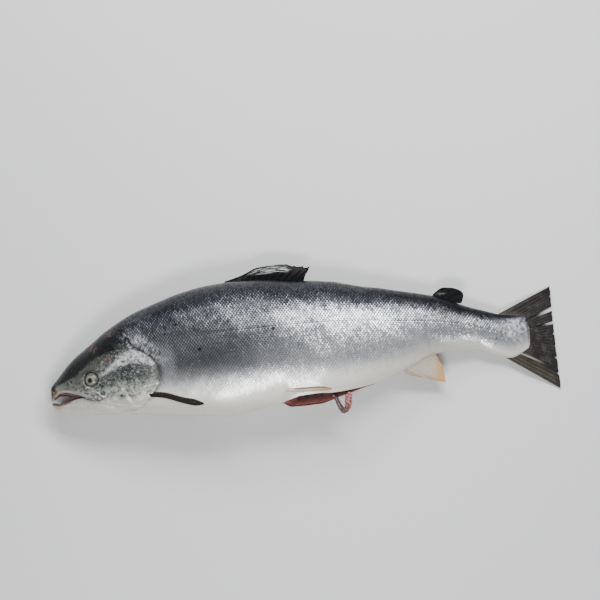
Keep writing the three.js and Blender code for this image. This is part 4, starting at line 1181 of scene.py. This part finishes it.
TAIL_TIP, TAIL_TOP, TAIL_BOTTOM = 723, 76, -71
TAIL_DROOP, TAIL_EDGE_HEIGHT = 672, 1.8  # where the fan starts to sink, and how high its edge lies
TAIL_RAYS, TAIL_THICK = 30, (3.4, 0.6)
TAIL_ROWS, TAIL_COLUMNS = 620, 70
TEARS = [  # the two tears and the nicks of the edge: (y, depth, half width)
    (44, 33, 3), (24, 25, 1.9), (-27, 5, 1.6), (-50, 4, 2), (62, 2.5, 1.2), (8, 2.5, 1.5), (-10, 2, 1.2),
]
TAIL_ROOT = path([
    (636, 40, 0), (668, 34, 0.12), (676, 28, 0.25), (676, 4, 0.62), (660, -8, 0.85), (636, -10, 1),
])
TAIL_SPREAD = curve([(0, 0), (0.12, 0.1), (0.5, 0.42), (0.85, 0.8), (1, 1)])

# s runs along the fan's edge, from the top to the bottom, and t from its root to its edge.
tail_s, tail_t = np.linspace(0, 1, TAIL_ROWS)[:, None], np.linspace(0, 1, TAIL_COLUMNS)[None]
edge_y = TAIL_TOP + (TAIL_BOTTOM - TAIL_TOP) * TAIL_SPREAD(tail_s)
tears = [depth * np.sqrt(np.clip(1 - np.abs(edge_y - y) / wide, 0, 1)) for y, depth, wide in TEARS]
torn = np.max(tears, axis=0)
worn = 0.5 * np.abs(np.sin(np.pi * tail_s * TAIL_RAYS)) + 0.5 * np.sin(61 * tail_s) * np.sin(23 * tail_s + 1)
edge_x = TAIL_TIP - 0.8 * np.sin(np.pi * (edge_y - TAIL_BOTTOM) / (TAIL_TOP - TAIL_BOTTOM))
root_x, root_y = TAIL_ROOT(tail_s)
kept = 1 - (torn + np.abs(worn)) / np.hypot(edge_x - root_x, edge_y - root_y)
tail_x, tail_y = root_x + (edge_x - root_x) * tail_t * kept, root_y + (edge_y - root_y) * tail_t * kept
droop = ease(TAIL_DROOP, TAIL_TIP, tail_x)
stalk = middle_height(np.minimum(tail_x, TAIL_DROOP))
tail_plane = stalk + (TAIL_EDGE_HEIGHT - stalk) * droop
tail_plane = tail_plane + 2.2 * bell(tail_s, 0.03) * tail_t**6
tail_thick = TAIL_THICK[0] + (TAIL_THICK[1] - TAIL_THICK[0]) * tail_t
tail_wave = 0.14 * np.cos(2 * np.pi * tail_s * TAIL_RAYS) * ease(0, 0.2, tail_t) * ease(1.15, 0.7, tail_t)
tail_taper = np.clip(np.minimum(tail_s, 1 - tail_s) * 40, 0.3, 1)
tail_half = tail_thick * tail_taper / 2 + tail_wave
tail_top, tail_under = [
    over_table(together(tail_x, tail_y, tail_plane + side * tail_half), 0.02) for side in (1, -1)
]
tail = sheet_piece("tail_fin", tail_top, tail_under, {"rays": together(tail_s, tail_t)})


def tail_skin():
    """Dark skin over rays that branch towards the edge, clouded, paler at the root, black along the edge,
    and olive between the last rays."""
    paint = Paint("tail_fin")
    s, t, place = paint.uv("rays")
    mottle = paint.noise(place, 7, 4, 0.65, stretch=(2.5, 1, 1))
    along = abs(paint.math("SINE", s * (math.pi * TAIL_RAYS) + (mottle - 0.5) * 0.5))
    branch = abs(paint.math("SINE", s * (math.pi * TAIL_RAYS * 3)))
    web = paint.mix(paint.band(0.1, 0.6, along), (0.026, 0.021, 0.019), (0.012, 0.01, 0.01))
    twigs = paint.band(0.4, 0.1, branch) * paint.band(0.4, 0.8, t) * 0.35
    shade = paint.mix(twigs, web, (0.03, 0.025, 0.02))
    shade = paint.mix(paint.band(0.5, 0.66, mottle) * 0.6, shade, (0.055, 0.046, 0.042))
    clouds = paint.noise(place, 5, 4, 0.6, stretch=(2.4, 1, 1))
    shade = paint.mix(paint.band(0.52, 0.66, clouds) * 0.6, shade, (0.06, 0.053, 0.05))
    shade = paint.mix(paint.band(0.44, 0.36, clouds) * 0.8, shade, (0.01, 0.009, 0.009))
    lobe = paint.band(0.86, 0.95, s + (mottle - 0.5) * 0.1)
    lobe = lobe * paint.band(0.3, 0.55, paint.noise(place, 26, 3, 0.6, stretch=(3, 1, 1)))
    olive = paint.mix(paint.band(0.1, 0.4, along), (0.16, 0.135, 0.09), (0.05, 0.04, 0.028))
    shade = paint.mix(lobe * 0.6, shade, olive)
    pale_ray = paint.band(0.018, 0.006, abs(s - 0.86)) * paint.band(0.75, 0.4, t)
    shade = paint.mix(pale_ray * 0.6, shade, (0.4, 0.36, 0.28))
    shade = paint.mix(paint.band(0.3, 0.0, t + (mottle - 0.5) * 0.3) * 0.5, shade, (0.13, 0.115, 0.105))
    shade = paint.mix(paint.band(0.8, 1.0, t) * 0.6, shade, (0.006, 0.005, 0.005))
    fine = paint.noise(place, 90, 3, 0.6, stretch=(5, 1, 1))
    relief = paint.bump(along * 0.6 + fine * 0.4, 0.0002, 0.4)
    return paint.wear(
        Base_Color=shade, Roughness=0.42 + mottle * 0.2, Normal=relief, Specular_IOR_Level=0.22,
    )


finish_piece(tail, tail_skin(), "dark_fin", "tail_fin")


# ----------------------------------------------------------------------------------------------------
# The paired fins, folded shut like fans and lying back along the flanks: dark blades behind the gill
# covers, and small cream ones with an orange tip under the belly.

BLADE_ROWS, BLADE_COLUMNS = 120, 40
PECTORAL_LINE = curve([(141, -20.5), (158, -23), (190, -34.5), (216, -42)])
PECTORAL_HALF = curve([(0, 3.2), (0.3, 3.9), (0.62, 4.1), (0.8, 4.4), (1, 1.2)])
PELVIC_LINE = curve([(334, -35.5), (353, -37.5), (376, -38), (398, -40)])
PELVIC_HALF = curve([(0, 2), (0.4, 3), (0.8, 2.8), (1, 0.8)])


def folded_fin(name, line, half_wide, span, thick, folds, side):
    """A blade on the skin: x runs along it, y is its line plus its half width times a number from -1 to
    1, and it stands over the skin by an arch with a fold for each ray."""
    s, t = np.linspace(0, 1, BLADE_ROWS)[:, None], np.linspace(0, 1, BLADE_COLUMNS)[None]
    x = span[0] + (span[1] - span[0]) * s + 0 * t
    y = line(x) + half_wide(s) * (2 * t - 1)
    arch = thick * np.sqrt(np.sin(np.pi * (0.06 + 0.88 * t))) * np.clip((1 - s) * 9, 0.3, 1)
    fold = 0.32 * np.abs(np.sin(np.pi * folds * t + 1.5 * s)) * np.sin(np.pi * t)
    upper, lower = [over_table(on_skin(x, y, out, side), 0.03) for out in (0.5 + arch + fold, 0.15 + 0 * x)]
    return sheet_piece(name, upper, lower, {"rays": together(t, s)})


pectoral_skin = fin_skin(
    "pectoral_fin", 5, (0.01, 0.008, 0.007), (0.026, 0.02, 0.016),
    (0.12, 0.1, 0.07), 0.25, (0.01, 0.008, 0.007), 0.7,
    gloss=0.1,
)
pelvic_skin = fin_skin(
    "pelvic_fin", 4, (0.6, 0.54, 0.42), (0.68, 0.62, 0.5),
    (0.2, 0.18, 0.14), 0.3, (0.58, 0.36, 0.13), 0.5,
    shadow=0.85,
)
for side, word in ((1, "left"), (-1, "right")):
    blade = folded_fin(f"pectoral_fin_{word}", PECTORAL_LINE, PECTORAL_HALF, (141, 216), 2.2, 5, side)
    finish_piece(blade, pectoral_skin, "dark_fin", f"pectoral_fin_{word}")
    blade = folded_fin(f"pelvic_fin_{word}", PELVIC_LINE, PELVIC_HALF, (334, 398), 1.5, 4, side)
    finish_piece(blade, pelvic_skin, "pale_fin", f"pelvic_fin_{word}")


# ----------------------------------------------------------------------------------------------------
# The cut in the belly: the fish is gutted, and its open cavity shows between the two lips of the cut,
# dark red inside, darkest deep in and under the upper lip, which is partly painted shade, and paler where
# its wall rises to the lower lip.

CAVITY_COLUMNS = 72
CUT_WALL, CUT_REACH = 7, 26  # thickness of the belly's wall, and how far the cavity goes in over its lip

lips = (HALF - CUT_COLUMNS, HALF)
lip_x = trunk_x[:, lips]
cut_rows = np.flatnonzero((lip_x > CUT_FROM).all(axis=1) & (lip_x < OPEN_TO + 1).all(axis=1))
upper_edge, lower_edge = [trunk_points[cut_rows, lip] for lip in lips]
cut_x = lip_x[cut_rows].mean(axis=1)


def cavity_section(upper_edge, lower_edge):
    """Corner points of the cavity across the fish, from the upper lip round to the lower one."""
    x, y, z = upper_edge.T
    _, low_y, low_z = lower_edge.T
    wide = np.clip((y - low_y) / 14, 0.0, 1)
    floor = z - (CUT_WALL + 12) * wide
    reach = CUT_REACH * wide
    rows = [
        (y, z), (y + 0.3, z - CUT_WALL * wide), (y + 0.45 * reach, z - (CUT_WALL + 2.5) * wide),
        (y + reach, floor + 8 * wide), (y + 0.9 * reach, floor + wide), (y, floor - 2 * wide),
        (low_y + 1.5 * wide, np.minimum(low_z - 5 * wide, floor + 1.5 * wide)),
        (low_y + 0.8 * wide, low_z - 2.5 * wide), (low_y, low_z),
    ]
    return np.stack([together(x, *row) for row in rows], axis=1)


corners = cavity_section(upper_edge, lower_edge)
place = np.linspace(0, corners.shape[1] - 1, CAVITY_COLUMNS)
low_corner = np.clip(place.astype(int), 0, corners.shape[1] - 2)
part = (place - low_corner)[None, :, None]
cavity_points = corners[:, low_corner] * (1 - part) + corners[:, low_corner + 1] * part
for _ in range(6):  # the corners are rounded by averages of neighbours
    cavity_points[:, 1:-1] = (cavity_points[:, :-2] + 2 * cavity_points[:, 1:-1] + cavity_points[:, 2:]) / 4
along_cut, round_cut = cut_x[:, None], np.linspace(0, 1, CAVITY_COLUMNS)[None]
lumps = hills(along_cut, 140 * round_cut, (13, 17, 0.5, 0.5), (7, 9, 2.2, 0.25)) * np.sin(np.pi * round_cut)
cavity_points = cavity_points + normals_of(cavity_points, closed=False) * lumps[..., None]
cavity_faces = grid_faces(len(cut_rows), CAVITY_COLUMNS)
cavity_map = {"cavity": together(along_cut * MM, round_cut)}
cavity = make_piece("belly_cavity", cavity_points, [cavity_faces], cavity_map)


def cut_flesh():
    """Dark red flesh in soft patches, pinker at the front end of the cut and along both lips. Its darkest
    red inside is partly painted shade, and the wall is lighter towards the lower lip.
    """
    paint = Paint("cut_flesh")
    x, round_it, _ = paint.uv("cavity")
    mottle = paint.noise(paint.here(), 160, 4, 0.6)
    # Painted shade: the flesh is darkest deep inside and under the upper lip, and lighter where the wall
    # rises to the lower lip.
    shade = paint.mix(paint.band(0.42, 0.62, mottle), (0.075, 0.018, 0.017), (0.02, 0.008, 0.009))
    front = paint.band(0.352, 0.334, x + (mottle - 0.5) * 0.02)
    shade = paint.mix(front * 0.8, shade, (0.3, 0.12, 0.1))
    upper = paint.band(0.08, 0.03, round_it + (mottle - 0.5) * 0.06)
    shade = paint.mix(upper * 0.7, shade, (0.25, 0.08, 0.065))
    lower = paint.band(0.66, 0.735, round_it + (mottle - 0.5) * 0.1)
    shade = paint.mix(lower, shade, (0.2, 0.05, 0.048))
    rim = paint.band(0.725, 0.76, round_it + (mottle - 0.5) * 0.05)
    shade = paint.mix(rim, shade, (0.5, 0.22, 0.18))
    relief = paint.bump(mottle, 0.0004, 0.4)
    return paint.wear(
        Base_Color=shade, Roughness=0.5 + mottle * 0.2, Normal=relief, Specular_IOR_Level=0.25,
    )


finish_piece(cavity, cut_flesh(), "flesh", "belly_lining")


# ----------------------------------------------------------------------------------------------------
# The gut: one short loop of soft pink tube that hangs out of the rear of the cut and ends inside it. Its
# front strand is thinner and dark.

GUT_RINGS, GUT_AROUND = 140, 40
GUT_X = 409.0  # where it hangs out; its heights are measured from the upper lip there
GUT_POINTS = np.array([
    (399, -46.5, -9), (403, -53, -10), (407, -64, -13), (412, -71.5, -18), (417, -69, -17),
    (420, -60, -11), (421, -50, -8), (420, -45.5, -8),
], float)
GUT_RADIUS = curve([(0, 2.4), (0.3, 3.6), (0.5, 4.0), (0.75, 5.0), (1, 3)])
gut_top = on_skin(GUT_X, cut_upper(GUT_X))[2]
gut_s = np.linspace(0, 1, GUT_RINGS)
knot = np.linspace(0, 1, len(GUT_POINTS))
gut_line = np.stack([curve(list(zip(knot, GUT_POINTS[:, axis])))(gut_s) for axis in range(3)], axis=-1)
gut_line[:, 2] += gut_top
for _ in range(12):  # the bends are rounded by averages of neighbours
    gut_line[1:-1] = (gut_line[:-2] + 2 * gut_line[1:-1] + gut_line[2:]) / 4
direction = unit(np.gradient(gut_line, axis=0))
sideways = unit(np.cross(direction, [0, 0, 1.0]))
upwards = np.cross(sideways, direction)
gut_turn = np.linspace(0, 2 * np.pi, GUT_AROUND, endpoint=False)[None]
gut_size = GUT_RADIUS(gut_s) * (1 + 0.1 * np.sin(gut_s * 41) * np.sin(gut_s * 23 + 1))
gut_size = (gut_size * np.sqrt(np.clip(1 - (2 * gut_s - 1) ** 40, 0.001, 1)))[:, None, None]
outwards = sideways[:, None] * np.cos(gut_turn)[..., None] + upwards[:, None] * np.sin(gut_turn)[..., None]
gut_points = over_table(gut_line[:, None] + gut_size * outwards, 0.05)
gut_map = {"gut": together(gut_s[:, None], gut_turn / 6.3)}
gut = make_piece("gut_loop", gut_points, tube_faces(GUT_RINGS, GUT_AROUND), gut_map)


def gut_skin():
    """Wet pink and dark red in patches, with paler ones. The first half, the front strand, is dark."""
    paint = Paint("gut")
    s, _, _ = paint.uv("gut")
    mottle = paint.noise(paint.here(), 330, 4, 0.6)
    shade = paint.mix(paint.band(0.42, 0.58, mottle), (0.46, 0.17, 0.15), (0.13, 0.03, 0.03))
    shade = paint.mix(paint.band(0.42, 0.34, mottle) * 0.6, shade, (0.66, 0.42, 0.38))
    along = s + (mottle - 0.5) * 0.1
    strand = paint.band(0.02, 0.12, along) * paint.band(0.6, 0.48, along)
    shade = paint.mix(strand * 0.85, shade, (0.06, 0.05, 0.055))
    relief = paint.bump(mottle, 0.0006, 0.7)
    return paint.wear(Base_Color=shade, Roughness=0.34, Normal=relief, Coat_Weight=0.25)


finish_piece(gut, gut_skin(), "gut", "gut_loop")


# ----------------------------------------------------------------------------------------------------
# Floor, lights and camera: a plain pale surface, two long soft lights over the back and the belly, and a
# camera almost straight above, turned so that the fish lies slightly uphill in the picture.

CAMERA_DISTANCE = 12.0
CAMERA_ELEVATION = 86
PICTURE_TURN = 6.19  # degrees that the fish's length climbs in the picture
AIM = (367.0, 91.6, 50)  # what the middle of the picture shows
MM_PER_PIXEL = 1.42
PICTURE_PIXELS = 600
FLOOR_WIDE, FLOOR_UNDER = 6.0, 0.0002  # half the floor's side, and how far it lies under the fish, in metres
SOFTBOXES = [  # (name, place, what it faces, width and height in metres, power)
    ("back_softbox", (930, 1000, 1350), (480, 50, 50), (1.2, 0.42), 26),
    ("shoulder_softbox", (120, 1500, 1100), (250, 80, 50), (0.9, 0.35), 16),
    ("belly_softbox", (280, -850, 1350), (280, 0, 50), (0.8, 0.35), 16),
]


def soft_light(name, place, aim, size, power):
    """A white rectangular softbox that faces the aim, places in the fish's millimetres."""
    data = bpy.data.lights.new(name, "AREA")
    data.shape, data.energy = "RECTANGLE", power
    data.size, data.size_y = size
    light = bpy.data.objects.new(name, data)
    at, to = [Vector(np.array(p) * MM + SHIFT) for p in (place, aim)]
    facing = (to - at).to_track_quat("-Z", "Y").to_matrix().to_4x4()
    light.matrix_world = Matrix.Translation(at) @ facing
    bpy.context.scene.collection.objects.link(light)


def floor():
    """A pale square just under the fish."""
    mesh = bpy.data.meshes.new("floor")
    corners = [(x * FLOOR_WIDE, y * FLOOR_WIDE, 0) for x, y in ((-1, -1), (1, -1), (1, 1), (-1, 1))]
    mesh.from_pydata(corners, [], [(0, 1, 2, 3)])
    piece = bpy.data.objects.new("floor", mesh)
    bpy.context.scene.collection.objects.link(piece)
    piece.location.z = -FLOOR_UNDER
    paint = Paint("pale_surface")
    mesh.materials.append(paint.wear(Base_Color=(0.8, 0.8, 0.8), Roughness=0.6))


def camera():
    """A camera that faces AIM from its elevation over the belly side, rolled by the picture's turn. Its
    lens spreads the picture's pixels over their millimetres at that distance."""
    data = bpy.data.cameras.new("camera")
    data.sensor_width = 36
    data.lens = data.sensor_width * CAMERA_DISTANCE / (MM_PER_PIXEL * MM * PICTURE_PIXELS)
    tilt, turn = math.radians(CAMERA_ELEVATION), math.radians(PICTURE_TURN)
    backwards = Vector((0, -math.cos(tilt), math.sin(tilt)))
    upwards = Vector((math.sin(turn), math.cos(turn), 0))
    upwards = (upwards - backwards * upwards.dot(backwards)).normalized()
    sideways = upwards.cross(backwards)
    turned = Matrix((sideways, upwards, backwards)).transposed().to_4x4()
    at = Vector(np.array(AIM) * MM + SHIFT) + backwards * CAMERA_DISTANCE
    made = bpy.data.objects.new("camera", data)
    made.matrix_world = Matrix.Translation(at) @ turned
    bpy.context.scene.collection.objects.link(made)
    bpy.context.scene.camera = made


def surroundings(shade, strength):
    """Even light from all round."""
    world = bpy.data.worlds.new("studio")
    world.use_nodes = True
    world.node_tree.nodes["Background"].inputs["Color"].default_value = (*shade, 1)
    world.node_tree.nodes["Background"].inputs["Strength"].default_value = strength
    bpy.context.scene.world = world


floor()
camera()
surroundings((0.9, 0.95, 1.0), 0.26)
for softbox in SOFTBOXES:
    soft_light(*softbox)
